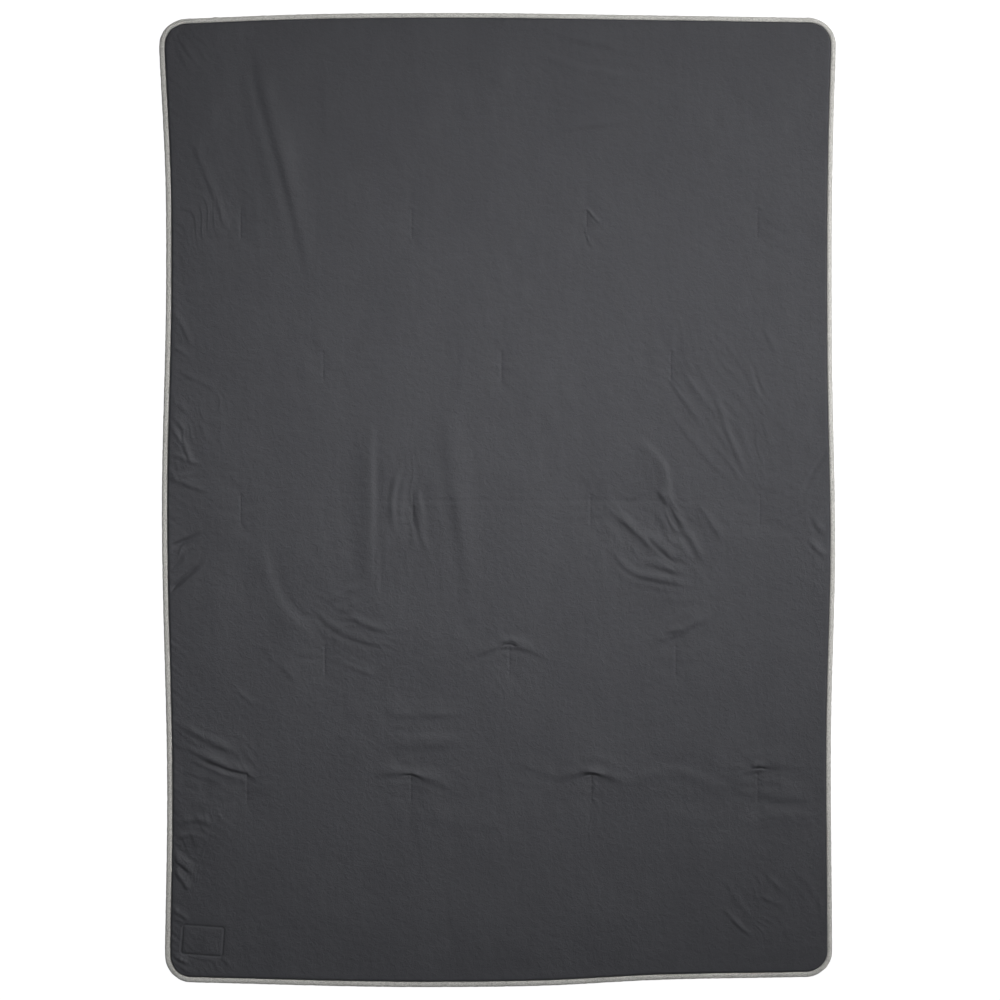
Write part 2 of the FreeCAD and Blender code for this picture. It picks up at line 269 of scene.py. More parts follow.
def border_loop(columns, rows):
    """The grid's edge points in order, counterclockwise seen from above."""
    bottom = [i * rows for i in range(columns)]
    right = [(columns - 1) * rows + j for j in range(1, rows)]
    top = [i * rows + rows - 1 for i in range(columns - 2, -1, -1)]
    left = list(range(rows - 2, 0, -1))
    return bottom + right + top + left


def side_walls(loop, above):
    """Faces that join a closed loop of points to the loop so many points later."""
    return [[a, b, b + above, a + above] for a, b in zip(loop, loop[1:] + loop[:1])]


def round_corners(x, y, half_x, half_y, radius):
    """Maps a rectangle's plan points to a rectangle with round corners."""
    s = np.clip((np.abs(x) - (half_x - radius)) / radius, 0, 1)
    t = np.clip((np.abs(y) - (half_y - radius)) / radius, 0, 1)
    moved_s = s * np.sqrt(1 - t * t / 2)
    moved_t = t * np.sqrt(1 - s * s / 2)
    new_x = x + np.sign(x) * (moved_s - s) * radius
    new_y = y + np.sign(y) * (moved_t - t) * radius
    return new_x, new_y


def graded_lines(half, spacing, fine_stretches, edge_step=0.55 * MM):
    """Grid lines from -half to half, closer at both ends and in the fine stretches of (low, high, step)."""
    fine_at = np.arange(-half, half, LINE_GRAIN)
    step = np.minimum(spacing, edge_step + LINE_GROWTH * (half - np.abs(fine_at)))
    for low, high, fine_step in fine_stretches:
        outside = np.maximum(np.maximum(low - fine_at, fine_at - high), 0)
        step = np.minimum(step, fine_step + LINE_GROWTH * outside)
    counted = np.concatenate([[0], np.cumsum(LINE_GRAIN / step)])
    fine_at = np.append(fine_at, half)
    count = int(round(counted[-1] / (2 * INNER_SKIP))) * 2 * INNER_SKIP
    return np.interp(np.linspace(0, counted[-1], count + 1), counted, fine_at)


# ---- The shape of the top: swell, tack dips, patch furrow, folds and puckers ----
def rise(depth):
    """How far the top has risen, from 0 to 1, at a distance in from the seam."""
    at_seam = 1 - np.exp(-depth / EDGE_RISE_REACH)
    further_in = 1 - np.exp(-depth / SWELL_REACH)
    return EDGE_RISE * at_seam + (1 - EDGE_RISE) * further_in


def bar_distance(x, y, tack):
    """How far plan points are from the line of a tack."""
    low, high = tack
    end = 1.5 * MM
    past = np.maximum(np.maximum(y - (high.y - end), (low.y + end) - y), 0)
    return np.hypot(x - (low.x + high.x) / 2, past)


def tack_dip(x, y):
    """How deep the tacks pull the face down: a tight uneven groove in a broad soft hollow."""
    total = np.zeros_like(x)
    for k, tack in enumerate(TACKS.values()):
        away = bar_distance(x, y, tack)
        uneven = 1 + 0.35 * np.sin(y / (2.9 * MM) + 1.7 * k) + 0.25 * np.sin(y / (1.7 * MM) + 2.9 * k)
        groove = GROOVE_DEPTH * uneven * np.exp(-((away / (1.6 * MM)) ** 1.6))
        total += groove + HOLLOW_DEPTH * np.exp(-away / (12 * MM))
    return total


def tack_gathers(x, y):
    """Small puckers that the stitches of each tack draw up on both its sides."""
    total = np.zeros_like(x)
    for k, (low, high) in enumerate(TACKS.values()):
        dx, dy = x - (low.x + high.x) / 2, y - (low.y + high.y) / 2
        near = np.exp(-np.abs(dx) / (5 * MM)) * smooth(1 - (np.abs(dy) - 24 * MM) / (9 * MM))
        side = np.where(dx > 0, 1.3, 0.0) + k
        beat = np.sin(TURN * (dy + 0.5 * np.abs(dx)) / (8.5 * MM) + side * 2.1)
        beat += 0.8 * np.sin(TURN * (dy - 0.4 * np.abs(dx)) / (13 * MM) + side * 4.4)
        total += GATHER_HEIGHT * beat * near * smooth(np.abs(dx) / (1.5 * MM))
    return total


def patch_frame(x, y):
    """Plan points in the patch's own axes."""
    dx, dy = x - PATCH_X, y - PATCH_Y
    c, s = math.cos(-PATCH_TILT), math.sin(-PATCH_TILT)
    return dx * c - dy * s, dx * s + dy * c


def from_patch(x, y):
    """Points in the patch's own axes, in plan."""
    c, s = math.cos(PATCH_TILT), math.sin(PATCH_TILT)
    return PATCH_X + x * c - y * s, PATCH_Y + x * s + y * c


def box_distance(x, y, half_x, half_y, radius):
    """Signed distance to a rounded rectangle, below 0 inside."""
    qx = np.abs(x) - half_x + radius
    qy = np.abs(y) - half_y + radius
    outside = np.hypot(np.maximum(qx, 0), np.maximum(qy, 0))
    return outside + np.minimum(np.maximum(qx, qy), 0) - radius


def patch_line_distance(x, y):
    """How far plan points are from the patch's line of stitches."""
    px, py = patch_frame(x, y)
    return np.abs(box_distance(px, py, PATCH_STITCHED[0] / 2, PATCH_STITCHED[1] / 2, PATCH_STITCH_R))


# ---- Folds ----


def placed(anchor, rows):
    """Folds whose points are measured from an anchor, moved to the quilt's own axes."""
    return [([(x + anchor[0], y + anchor[1]) for x, y in points], *rest) for points, *rest in rows]


def head_of(tack):
    """The head end of a tack, in mm."""
    low, high = TACKS[tack]
    return (low.x + high.x) / 2 / MM, high.y / MM


# Each fold is (points in mm, width in mm, height in mm, steepness), with only the points that its bend needs.
# It is a ridge that rises from nothing at both ends. A steepness above 1 makes the flank away from the light
# tight and dark, and one below 1 makes the lit flank tight. A negative height makes a groove.
LEFT_SEAM = (-SEAM_X / MM, 0)
RIGHT_SEAM = (SEAM_X / MM, 0)

# from the middle of the quilt
OPEN_FOLDS = [
    # the long soft crease from the head end down to the second row, and fainter ones beside it
    ([(-460, 905), (-450, 820), (-390, 580), (-340, 370)], 15, 1.8, 2.4),
    ([(-585, 700), (-505, 500)], 7, 0.9, 2.0),
    ([(-605, 880), (-560, 810)], 5, 0.8, 1.8),
    ([(-610, 860), (-575, 800)], 5, 0.6, 1.8),
    ([(-330, 860), (-320, 640)], 14, 0.5, 1.6),
    # upright folds left of the middle
    ([(-235, 170), (-235, -205)], 13, 2.1, 0.35),
    ([(-225, -60), (-225, -205)], 4, 0.9, 0.6),
    ([(-180, 70), (-195, 0), (-190, -70)], 5.5, 2.1, 0.6),
    ([(-160, 20), (-145, -60), (-125, -120)], 7, 1.3, 1.7),
    ([(-150, 25), (-135, -50)], 6, 1.6, 0.5),
    ([(-100, 215), (-90, 90), (-70, -40), (-45, -240)], 18, 1.7, 1.8),
    ([(-60, 330), (-75, 160)], 12, 0.5, 1.8),
    # the sweep from the third row round to the fourth row's first tack
    ([(-450, -50), (-425, -150), (-395, -210), (-320, -260)], 19, 1.8, 0.4),
    ([(-400, -110), (-350, -200)], 7, 0.3, 1.5),
    ([(-360, -190), (-310, -240), (-235, -270), (-190, -270)], 7, 1.2, 2.2),
    ([(-290, -215), (-240, -240), (-195, -250)], 5.5, 1.8, 2.6),
    ([(-330, -195), (-290, -170), (-245, -150)], 8, 1.0, 0.7),
    ([(-305, -210), (-255, -185)], 7, 0.9, 0.7),
    ([(-320, -260), (-220, -320)], 6, 0.3, 1.9),
    ([(-300, -305), (-225, -335)], 6, 0.9, 1.6),
    ([(-415, -305), (-380, -345)], 7, 1.1, 2.6),
    ([(-500, -355), (-450, -395)], 5, 0.9, 1.7),
    ([(-455, -270), (-430, -290), (-415, -320)], 7, 0.6, 1.5),
    # the wrinkled stretch right of the middle, its upper part
    ([(500, 330), (530, 270)], 4.5, 1.1, 2.0),
    ([(455, 295), (480, 245), (500, 175)], 6, 0.9, 0.6),
    ([(410, 270), (495, 195)], 4.5, 0.45, 1.6),
    ([(355, 240), (420, 160)], 8, 1.0, 0.5),
    ([(410, 220), (420, 170), (450, 90), (480, 25)], 5, 1.6, 2.2),
    ([(400, 235), (425, 175), (455, 145), (490, 60)], 8, 1.0, 0.55),
    ([(320, 235), (390, 135)], 5, 1.4, 2.2),
    ([(345, 250), (410, 160)], 4.5, 0.8, 2.0),
    ([(315, 180), (390, 85), (465, 10)], 5, 0.8, 2.2),
    ([(400, 110), (430, 80), (465, 25)], 4, 1.3, 1.9),
    ([(500, 160), (515, 95)], 4, 0.6, 1.7),
    # its lower part
    ([(250, 135), (320, 60), (330, 5), (345, -25)], 11, 1.8, 0.4),
    ([(320, 15), (345, -40), (400, -130)], 6.5, 1.9, 1.3),
    ([(375, 0), (430, -85)], 5.5, 1.3, 1.5),
    ([(205, -10), (260, -60), (325, -120)], 5.5, 2.3, 2.8),
    ([(280, -60), (350, -125)], 8, 2.8, 5.0),
    ([(225, -10), (285, -75)], 10, 0.9, 0.5),
    ([(290, -10), (320, -55), (330, -85)], 8, 1.2, 1.9),
    ([(300, 25), (325, -15)], 6, 2.2, 2.2),
    ([(270, -115), (355, -140)], 7, 2.2, 3.2),
    ([(205, -85), (260, -140), (300, -150), (380, -165)], 6, 2.1, 2.6),
    ([(180, -50), (260, -185)], 5.5, 0.2, 1.8),
    ([(190, -30), (240, -85)], 4, 0.5, 1.8),
    ([(300, -175), (345, -190), (400, -180)], 8, 0.7, 1.5),
    ([(205, 20), (240, -25)], 8, 0.4, 0.6),
    ([(340, -60), (370, -120)], 12, 1.9, 0.6),
    ([(400, -25), (440, -70)], 8, 0.7, 0.5),
    # faint folds at the head end
    ([(60, 855), (130, 830), (275, 795)], 8, 1.4, 0.6),
    ([(110, 880), (250, 850)], 8, 1.9, 2.0),
    ([(105, 700), (270, 720)], 7, 1.5, 1.9),
    ([(150, 780), (280, 755)], 8, 0.4, 1.6),
    # low swells across the foot half
    ([(-225, -405), (-45, -405)], 9, 1.2, 1.7),
    ([(-220, -445), (-35, -445)], 10, 0.7, 0.6),
    ([(-220, -465), (-60, -460)], 10, 0.9, 1.7),
    # the pair that runs in from the left edge to the last row's first tack
    ([(-610, -420), (-575, -440), (-480, -485)], 8, 1.9, 2.0),
    ([(-605, -460), (-510, -505), (-465, -520), (-450, -540)], 6.5, 2.7, 3.0),
    ([(-600, -530), (-540, -550)], 8, 0.6, 1.6),
    # diagonal creases in the foot's right corner
    ([(425, -715), (465, -770)], 4.5, 0.9, 1.9),
    ([(420, -765), (470, -820)], 4.5, 1.4, 2.0),
    ([(435, -785), (485, -830)], 4.5, 1.1, 1.9),
    ([(440, -745), (480, -790)], 4, 0.8, 1.8),
    ([(505, -705), (545, -745)], 4.5, 1.4, 1.8),
    ([(495, -745), (520, -760), (550, -765)], 4.5, 1.6, 1.9),
    ([(550, -690), (595, -740), (605, -770)], 8, 0.9, 1.7),
    ([(605, -740), (615, -800)], 5, 1.0, 1.7),
]

# from the right seam
RIGHT_FOLDS = [
    ([(10, 110), (-30, 50), (-55, -5)], 5, -1.6, 1.0),
    ([(-30, -25), (-20, -50), (0, -70)], 6, 2.2, 2.2),
    ([(-40, -70), (-20, -95), (0, -110)], 5, 2.3, 2.2),
    ([(-35, -110), (-5, -140)], 5, 0.8, 1.8),
]

# from the left seam
LEFT_FOLDS = [
    # slanting down and in
    ([(-5, 375), (25, 335), (50, 285)], 5, 1.0, 1.9),
    ([(-5, 300), (20, 285), (50, 262)], 4.5, 1.1, 2.2),
    ([(-5, 258), (50, 230), (110, 200)], 6, 0.9, 1.9),
    ([(-10, 205), (15, 185), (50, 158)], 4.5, 1.2, 2.2),
    ([(-8, 175), (18, 150), (45, 118)], 4, 1.0, 2.2),
    ([(-10, 165), (12, 130), (32, 100), (52, 55)], 4, 1.5, 2.4),
    ([(-15, 97), (10, 86), (75, 62)], 4, 1.9, 2.4),
    ([(60, 150), (80, 105)], 5, 0.6, 1.9),
    ([(-12, 45), (20, 45), (70, 50)], 4, 1.0, 2.2),
    ([(-10, 48), (20, 36), (80, 13)], 4.5, 2.2, 2.3),
    # slanting up and in: grooves
    ([(-8, -98), (30, -80), (70, -62)], 4, -3.2, 1.0),
    ([(-5, -108), (20, -95), (68, -67)], 4, 0.8, 1.0),
    ([(-10, -143), (20, -118), (52, -95)], 4, -1.6, 1.0),
    ([(-12, -187), (20, -158), (70, -116)], 4, -3.6, 1.0),
    # near the foot
    ([(15, -613), (60, -605), (95, -620)], 6, 1.6, 2.0),
    ([(0, -648), (40, -634), (80, -642)], 5, 1.6, 2.0),
    ([(-15, -652), (15, -678), (55, -710)], 4.5, 3.4, 3.6),
    ([(-5, -678), (25, -714), (45, -744)], 4, 2.3, 3.0),
    # by the patch
    ([(-10, -763), (45, -796)], 4, 2.0, 2.4),
    ([(10, -862), (45, -879)], 4.5, 1.9, 1.9),
    ([(100, -863), (125, -885)], 4.5, 0.9, 1.9),
    ([(20, -880), (55, -902)], 4.5, 0.9, 1.9),
]

# the pressed fold across the middle, from seam to seam
PRESSED_FOLD = [([LEFT_SEAM, (0, 3), RIGHT_SEAM], 5, -0.3, 1.0)]

FOLDS = OPEN_FOLDS + placed(RIGHT_SEAM, RIGHT_FOLDS) + placed(LEFT_SEAM, LEFT_FOLDS)
FOLDS += placed((0, -4), PRESSED_FOLD)

# Bulges that sag over the heads of the lower tacks, from each tack's head: a soft arch, a tight lip in its
# middle, and a tight crease under the lip.
SAGGING = {
    "tack_row4_2": (
        ([(-90, -27), (0, 2), (83, -25)], 9.5, 1.6, 2.6),
        ([(-22, 5), (3, 10), (29, 0)], 4.5, 1.3, 3.0),
        ([(-18, -2), (-2, 3), (18, -3)], 2.4, -2.7, 1.0),
    ),
    "tack_row4_3": (
        ([(-46, 3), (12, 30), (75, 63)], 10, 2.2, 2.4),
        ([(-21, 24), (16, 33)], 3.5, 1.2, 2.6),
        ([(-18, 20), (18, 27)], 2.4, -1.1, 1.0),
    ),
    "tack_row5_2": (
        ([(-84, -8), (-40, 1), (0, 0), (84, -32)], 11, 2.0, 2.0),
        ([(-22, -2), (2, -1), (30, -15)], 4, 2.1, 3.0),
        ([(-20, -6), (0, -4), (22, -12)], 2.4, -1.7, 1.0),
    ),
    "tack_row5_3": (
        ([(-80, -16), (0, 3), (80, -27)], 11.5, 1.9, 2.4),
        ([(-23, 1), (0, 3), (30, -9)], 4.5, 2.2, 3.0),
        ([(-17, -8), (3, -3), (25, -9)], 2.4, -2.9, 1.0),
    ),
    "tack_row5_4": (
        ([(-47, -4), (15, 12), (93, 15)], 12, 1.2, 2.4),
        ([(-13, 12), (3, 14), (21, 10)], 4, 1.8, 3.0),
        ([(-13, 6), (5, 9), (23, 6)], 2.4, -1.9, 1.0),
    ),
}

# low swells between the lower tacks, from the middle of the quilt
LOW_SWELLS = [
    ([(20, -490), (140, -530)], 13, 0.8, 2.0),
    ([(215, -540), (320, -505), (455, -550)], 15, 1.1, 0.8),
    ([(460, -545), (570, -565), (620, -560)], 11, 0.6, 2.2),
    ([(505, -585), (555, -590), (605, -590)], 14, 0.9, 0.6),
    ([(300, -590), (380, -605), (470, -600)], 16, 0.7, 1.5),
    ([(-150, -595), (-60, -610), (30, -600)], 16, 0.6, 1.5),
]

SAGS = []
for tack, rows in SAGGING.items():
    SAGS += placed(head_of(tack), rows[:2])
SAGS += LOW_SWELLS
for tack, rows in SAGGING.items():
    SAGS += placed(head_of(tack), rows[2:])

# Small creases that run off the heads of the upper tacks, and the height in mm of the small hood over a head.
TACK_CREASES = placed(head_of("tack_row1_3"), [
    ([(-10, -6), (0, 0), (12, -12), (30, -32)], 2.6, 2.0, 1.8),
    ([(-2, -28), (1, -50), (8, -65), (20, -75)], 2.6, 1.4, 1.6),
])
TACK_CREASES += placed(head_of("tack_row1_2"), [([(-5, -48), (3, -66)], 3, 0.5, 1.6)])
TACK_CREASES += placed(head_of("tack_row1_1"), [
    ([(-14, -8), (-7, -28), (-8, -48)], 2.6, 0.3, 1.6),
    ([(6, 0), (12, -22), (10, -44)], 2.6, 0.3, 1.6),
])
HOODS = {
    "tack_row1_2": 0.8,
    "tack_row1_4": 0.7,
    "tack_row2_1": 0.3,
    "tack_row2_2": 0.2,
    "tack_row2_3": 0.6,
    "tack_row3_1": 0.3,
    "tack_row3_3": 0.4,
    "tack_row3_4": 0.4,
}
for tack, height in HOODS.items():
    TACK_CREASES += placed(head_of(tack), [([(-12, 0), (0, 5), (14, -3)], 2.6, height, 1.6)])

# Stretches of fine, nearly parallel wrinkles:
# (middle in mm, reach along and across in mm, heading in degrees, spacing in mm, height in mm)
WRINKLE_FIELDS = [
    ((430, 190), (170, 95), -58, 20, 0.55),
    ((310, -80), (130, 85), -46, 17, 0.6),
    ((-175, -20), (210, 75), -87, 24, 0.2),
    ((-290, -225), (110, 60), -28, 18, 0.5),
    ((-545, -480), (110, 60), -25, 20, 0.5),
    ((500, -765), (95, 60), -48, 14, 0.45),
    ((190, 800), (190, 90), -12, 26, 0.3),
    ((-590, 120), (60, 130), -50, 15, 0.45),
    ((-590, -110), (60, 90), 38, 15, 0.35),
    ((-590, 520), (60, 200), -58, 18, 0.35),
    ((-590, -680), (60, 120), -40, 16, 0.45),
    ((600, -20), (55, 130), 55, 17, 0.4),
    ((-590, 850), (60, 50), -50, 12, 0.35),
    ((590, 850), (60, 60), 50, 14, 0.3),
    ((560, -600), (110, 50), -6, 20, 0.35),
    ((180, -570), (80, 40), -80, 13, 0.3),
    ((22, -330), (60, 45), -80, 13, 0.25),
    ((-560, -880), (100, 30), -30, 13, 0.35),
]


def along_curve(points, samples=28):
    """Points spaced along a smooth curve through the given points, in metres."""
    points = np.array(points, float) * MM
    lengths = np.linalg.norm(np.diff(points, axis=0), axis=1)
    at = np.concatenate([[0], np.cumsum(lengths)])
    where = np.linspace(0, at[-1], samples)
    return np.stack([through(list(zip(at, points[:, k])), where) for k in (0, 1)], axis=1)


def add_fold(x, y, lift, shift_x, shift_y, fold, seed):
    """Adds one fold to the height and to the sideways shift of the plan points.

    The fold is a ridge with a tight flank and a broad one, and a faint echo beside it. Steep ones lean over.
    """
    points, width, height, steep = fold
    width, height = width * MM, height * MM * FOLD_STRENGTH
    rng = np.random.default_rng(seed)
    line = along_curve(points)
    reach = 5 * width
    low, high = line.min(0) - reach, line.max(0) + reach
    near = np.flatnonzero((x > low[0]) & (x < high[0]) & (y > low[1]) & (y < high[1]))
    here = np.stack([x[near], y[near]], axis=1)
    start, run = line[:-1], np.diff(line, axis=0)
    offset = here[:, None, :] - start[None]
    t = np.clip((offset * run[None]).sum(2) / (run**2).sum(1), 0, 1)
    away = offset - t[..., None] * run[None]
    distance = np.hypot(away[..., 0], away[..., 1])
    nearest = distance.argmin(1)
    pick = np.arange(len(near))
    gap = distance[pick, nearest]
    share = (nearest + t[pick, nearest]) / len(run)
    aside = away[pick, nearest]
    towards_light = aside[:, 0] * LIGHT_SLANT + aside[:, 1] > 0
    lit_width = width * steep**0.5
    gap = np.where(towards_light, gap, -gap) + (0.6 * lit_width if steep < 1 else 0)
    towards_light = gap > 0
    gap = np.abs(gap)
    flank = np.where(towards_light, lit_width, width / math.sqrt(steep))
    ends = smooth(share / FOLD_RUN_OUT) * smooth((1 - share) / FOLD_RUN_OUT)
    uneven = 1 + FOLD_UNEVEN * np.sin(TURN * (share * rng.uniform(1.5, 3.5) + rng.uniform(0, 1)))
    ridge = np.exp(-((gap / flank) ** 2)) - 0.2 * np.exp(-((gap / (2.3 * flank)) ** 2))
    beside = np.where(towards_light, gap, -gap) - rng.choice([-1, 1]) * rng.uniform(1.8, 2.6) * width
    echo = rng.uniform(0.15, 0.35) * np.exp(-((beside / (0.8 * width)) ** 2))
    echo = echo * smooth(np.sin(math.pi * share) * 1.2)
    lift[near] += height * (ridge * ends * uneven + echo * ends)
    lean = FOLD_LEAN * height * max(steep - LEAN_FROM, 0)
    body = np.exp(-((gap / width) ** 2)) * ends
    shift_y[near] -= lean * body
    shift_x[near] -= 0.3 * lean * body


def wrinkle_field(x, y, field, seed):
    """Fine wrinkles of uneven length, spacing and height that run roughly one way and fade at the edges."""
    middle, reach, heading, spacing, height = field
    spacing = spacing * MM
    turn = math.radians(heading)
    dx, dy = x - middle[0] * MM, y - middle[1] * MM
    along = dx * math.cos(turn) + dy * math.sin(turn)
    across = -dx * math.sin(turn) + dy * math.cos(turn)
    fade = np.exp(-(((along / (reach[0] * MM)) ** 2 + (across / (reach[1] * MM)) ** 2) ** 1.5))
    wander = waves(seed, 6, 9 * spacing, 4 * spacing)(along, across)
    bent = across + 0.8 * spacing * wander
    lengths = waves(seed + 1, 8, 3.2 * spacing, 1.3 * spacing)(along / 3.2, bent)
    skewed = bent + 0.14 * spacing * np.sin(TURN * bent / spacing)
    train = (0.5 + 0.5 * np.sin(TURN * skewed / spacing)) ** 1.7
    second = (0.5 + 0.5 * np.sin(TURN * bent / (0.62 * spacing) + 2 * wander)) ** 2
    both = train * smooth(0.5 + 0.9 * lengths) + 0.4 * second * smooth(0.4 - 0.9 * lengths)
    return height * MM * WRINKLE_STRENGTH * fade * both


def edge_puckers(x, y, depth_x, depth_y):
    """Little ripples that the seam gathers into the cloth, slanting inwards and dying out."""
    depth = np.minimum(depth_x, depth_y)
    at_side = smooth(0.5 + (depth_y - depth_x) / (20 * MM))
    ripple = np.zeros_like(x)
    for along, share in ((y, at_side), (x, 1 - at_side)):
        slant = TURN * (along + 0.8 * depth) / MM
        beats = np.sin(slant / 14.3) + 0.8 * np.sin(slant / 20.7 + 1.3) + 0.7 * np.sin(slant / 33.1 + 4.0)
        ripple += share * beats
    strength = at_side * np.where(x < 0, 1.2, 0.7) + (1 - at_side) * np.where(y > 0, 0.7, 0.3)
    patchy = 0.35 + 0.65 * smooth(0.5 + 0.8 * waves(11, 7, 0.40, 0.12)(x, y))
    fade = np.exp(-depth / (13 * MM)) * smooth(depth / (2.0 * MM))
    return PUCKER_HEIGHT * ripple * patchy * strength * fade


def bumpy(x, y):
    """The batting's soft unevenness and the cloth's own slight creasing."""
    broad = waves(3, 14, 0.34, 0.11)(x, y) * BUMP_HEIGHTS[0]
    middling = waves(5, 16, 0.075, 0.035)(x, y) * BUMP_HEIGHTS[1]
    fine = waves(8, 24, 0.028, 0.014)(x, y) * BUMP_HEIGHTS[2]
    return broad + middling * (0.6 + 0.4 * waves(6, 5, 0.5, 0.2)(x, y)) + fine


# ---- The covers and the batting ----
def grid(lines_x, lines_y):
    """Plan points of a grid, along Y first."""
    x, y = np.meshgrid(lines_x, lines_y, indexing="ij")
    return x.ravel(), y.ravel()


def plan(x, y):
    """A point of the even rectangle inside the seam: its place in plan and its depths from the seam."""
    depth_x = SEAM_X - np.abs(x)
    depth_y = SEAM_Y - np.abs(y)
    plan_x, plan_y = stray(*round_corners(x, y, SEAM_X, SEAM_Y, SEAM_R))
    return (plan_x + SEAM_ASIDE, plan_y + SEAM_ASIDE), depth_x, depth_y


def depth_in(x, y):
    """How far even plan points are inside the seam."""
    return np.minimum(SEAM_X - np.abs(x), SEAM_Y - np.abs(y))


def soft_top(x, y):
    """The face without its folds: the swell from the seam, the dips at the tacks and the patch's furrow."""
    (plan_x, plan_y), depth_x, depth_y = plan(x, y)
    swell = rise(depth_x) * rise(depth_y)
    z = DITCH_Z + (TOP_Z - DITCH_Z) * swell
    z += bumpy(plan_x, plan_y) * smooth((swell - 0.3) / 0.6)
    z += edge_puckers(plan_x, plan_y, depth_x, depth_y)
    z += tack_gathers(plan_x, plan_y) - tack_dip(plan_x, plan_y)
    furrow = patch_line_distance(plan_x, plan_y)
    z -= FURROW_DEPTH * np.exp(-((furrow / (1.4 * MM)) ** 1.6)) + FURROW_HOLLOW * np.exp(-furrow / (9 * MM))
    return plan_x, plan_y, z


def interpolation(fine, count, half):
    """Weights of a cubic curve that reads between evenly spaced values."""
    place = (fine + half) / (2 * half) * (count - 1)
    i = np.clip(np.floor(place).astype(int), 0, count - 2)
    f = place - i
    weights = (
        (-f + 2 * f**2 - f**3) / 2,
        (2 - 5 * f**2 + 3 * f**3) / 2,
        (f + 4 * f**2 - 3 * f**3) / 2,
        (-(f**2) + f**3) / 2,
    )
    table = np.zeros((len(fine), count))
    for k, weight in enumerate(weights):
        np.add.at(table, (np.arange(len(fine)), np.clip(i - 1 + k, 0, count - 1)), weight)
    return table


def puffed(lines_x, lines_y):
    """How far loose cloth held by the seam and the tacks moves when it puffs up, at each face point."""
    columns = int(2 * SEAM_X / PUFF_STEP) + 1
    rows = int(2 * SEAM_Y / PUFF_STEP) + 1
    x, y = grid(np.linspace(-SEAM_X, SEAM_X, columns), np.linspace(-SEAM_Y, SEAM_Y, rows))
    start = np.stack(soft_top(x, y), axis=1)
    piece = new_mesh("puffing", start, grid_faces(columns, rows))
    pins = piece.vertex_groups.new(name="held")
    held_at_edge = (np.abs(x) > SEAM_X - 1.5 * PUFF_STEP) | (np.abs(y) > SEAM_Y - 1.5 * PUFF_STEP)
    held_by_tack = np.zeros(len(x), bool)
    for tack in TACKS.values():
        held_by_tack |= bar_distance(start[:, 0], start[:, 1], tack) < 0.75 * PUFF_STEP
    pins.add(np.flatnonzero(held_at_edge | held_by_tack).tolist(), 1.0, "REPLACE")
    cloth = piece.modifiers.new("Cloth", "CLOTH")
    for setting, value in PUFF_SETTINGS.items():
        setattr(cloth.settings, setting, value)
    cloth.settings.effector_weights.gravity = 0
    cloth.collision_settings.use_collision = False
    cloth.collision_settings.use_self_collision = False
    scene = bpy.context.scene
    cloth.point_cache.frame_start = 1
    cloth.point_cache.frame_end = PUFF_FRAMES
    for frame_number in range(1, PUFF_FRAMES + 1):
        scene.frame_set(frame_number)
    result = piece.evaluated_get(bpy.context.evaluated_depsgraph_get()).to_mesh()
    end = np.empty(len(result.vertices) * 3)
    result.vertices.foreach_get("co", end)
    moves = np.clip(end.reshape(-1, 3) - start, -PUFF_CAP, PUFF_CAP)
    moves *= PUFF_SHARE * smooth(depth_in(x, y) / PUFF_EDGE)[:, None]
    scene.frame_set(1)
    bpy.data.objects.remove(piece, do_unlink=True)
    across = interpolation(lines_x, columns, SEAM_X)
    along = interpolation(lines_y, rows, SEAM_Y)
    return np.stack([across @ moves[:, k].reshape(columns, rows) @ along.T for k in range(3)])


def lowest_nearby(z, reach):
    """Each value replaced by the lowest within so many places of it."""
    padded = np.pad(z, reach, mode="edge")
    low = z.copy()
    for i in range(2 * reach + 1):
        for j in range(2 * reach + 1):
            low = np.minimum(low, padded[i : i + z.shape[0], j : j + z.shape[1]])
    return low


def stitched_sides(outer, inner):
    """Faces between two border loops, where the outer one has INNER_SKIP points to each of the inner."""
    faces = []
    count = len(inner)
    for k in range(count):
        run = [outer[(k * INNER_SKIP + m) % len(outer)] for m in range(INNER_SKIP + 1)]
        faces.append([inner[k], inner[(k + 1) % count]] + run[::-1])
    return faces


def face_lines():
    """The face's grid lines, closer together at the tacks, at the lower tacks' heads and at the patch."""
    fine_x, fine_y = [], []
    for middle in sorted({(low.x + high.x) / 2 for low, high in TACKS.values()}):
        fine_x.append((middle - 4 * MM, middle + 4 * MM, 1.5 * MM))
    for low, high in TACKS.values():
        fine_y.append((low.y - 2 * MM, high.y + 2 * MM, 2.6 * MM))
        if high.y < -0.2:
            fine_y.append((high.y - 3 * MM, high.y + 7 * MM, 1.2 * MM))
    low, high = PATCH_BOX
    fine_x.append((low.x - 2 * MM, high.x + 2 * MM, 1.4 * MM))
    fine_y.append((low.y - 2 * MM, high.y + 2 * MM, 1.4 * MM))
    return graded_lines(SEAM_X, FACE_STEP, fine_x), graded_lines(SEAM_Y, FACE_STEP, fine_y)


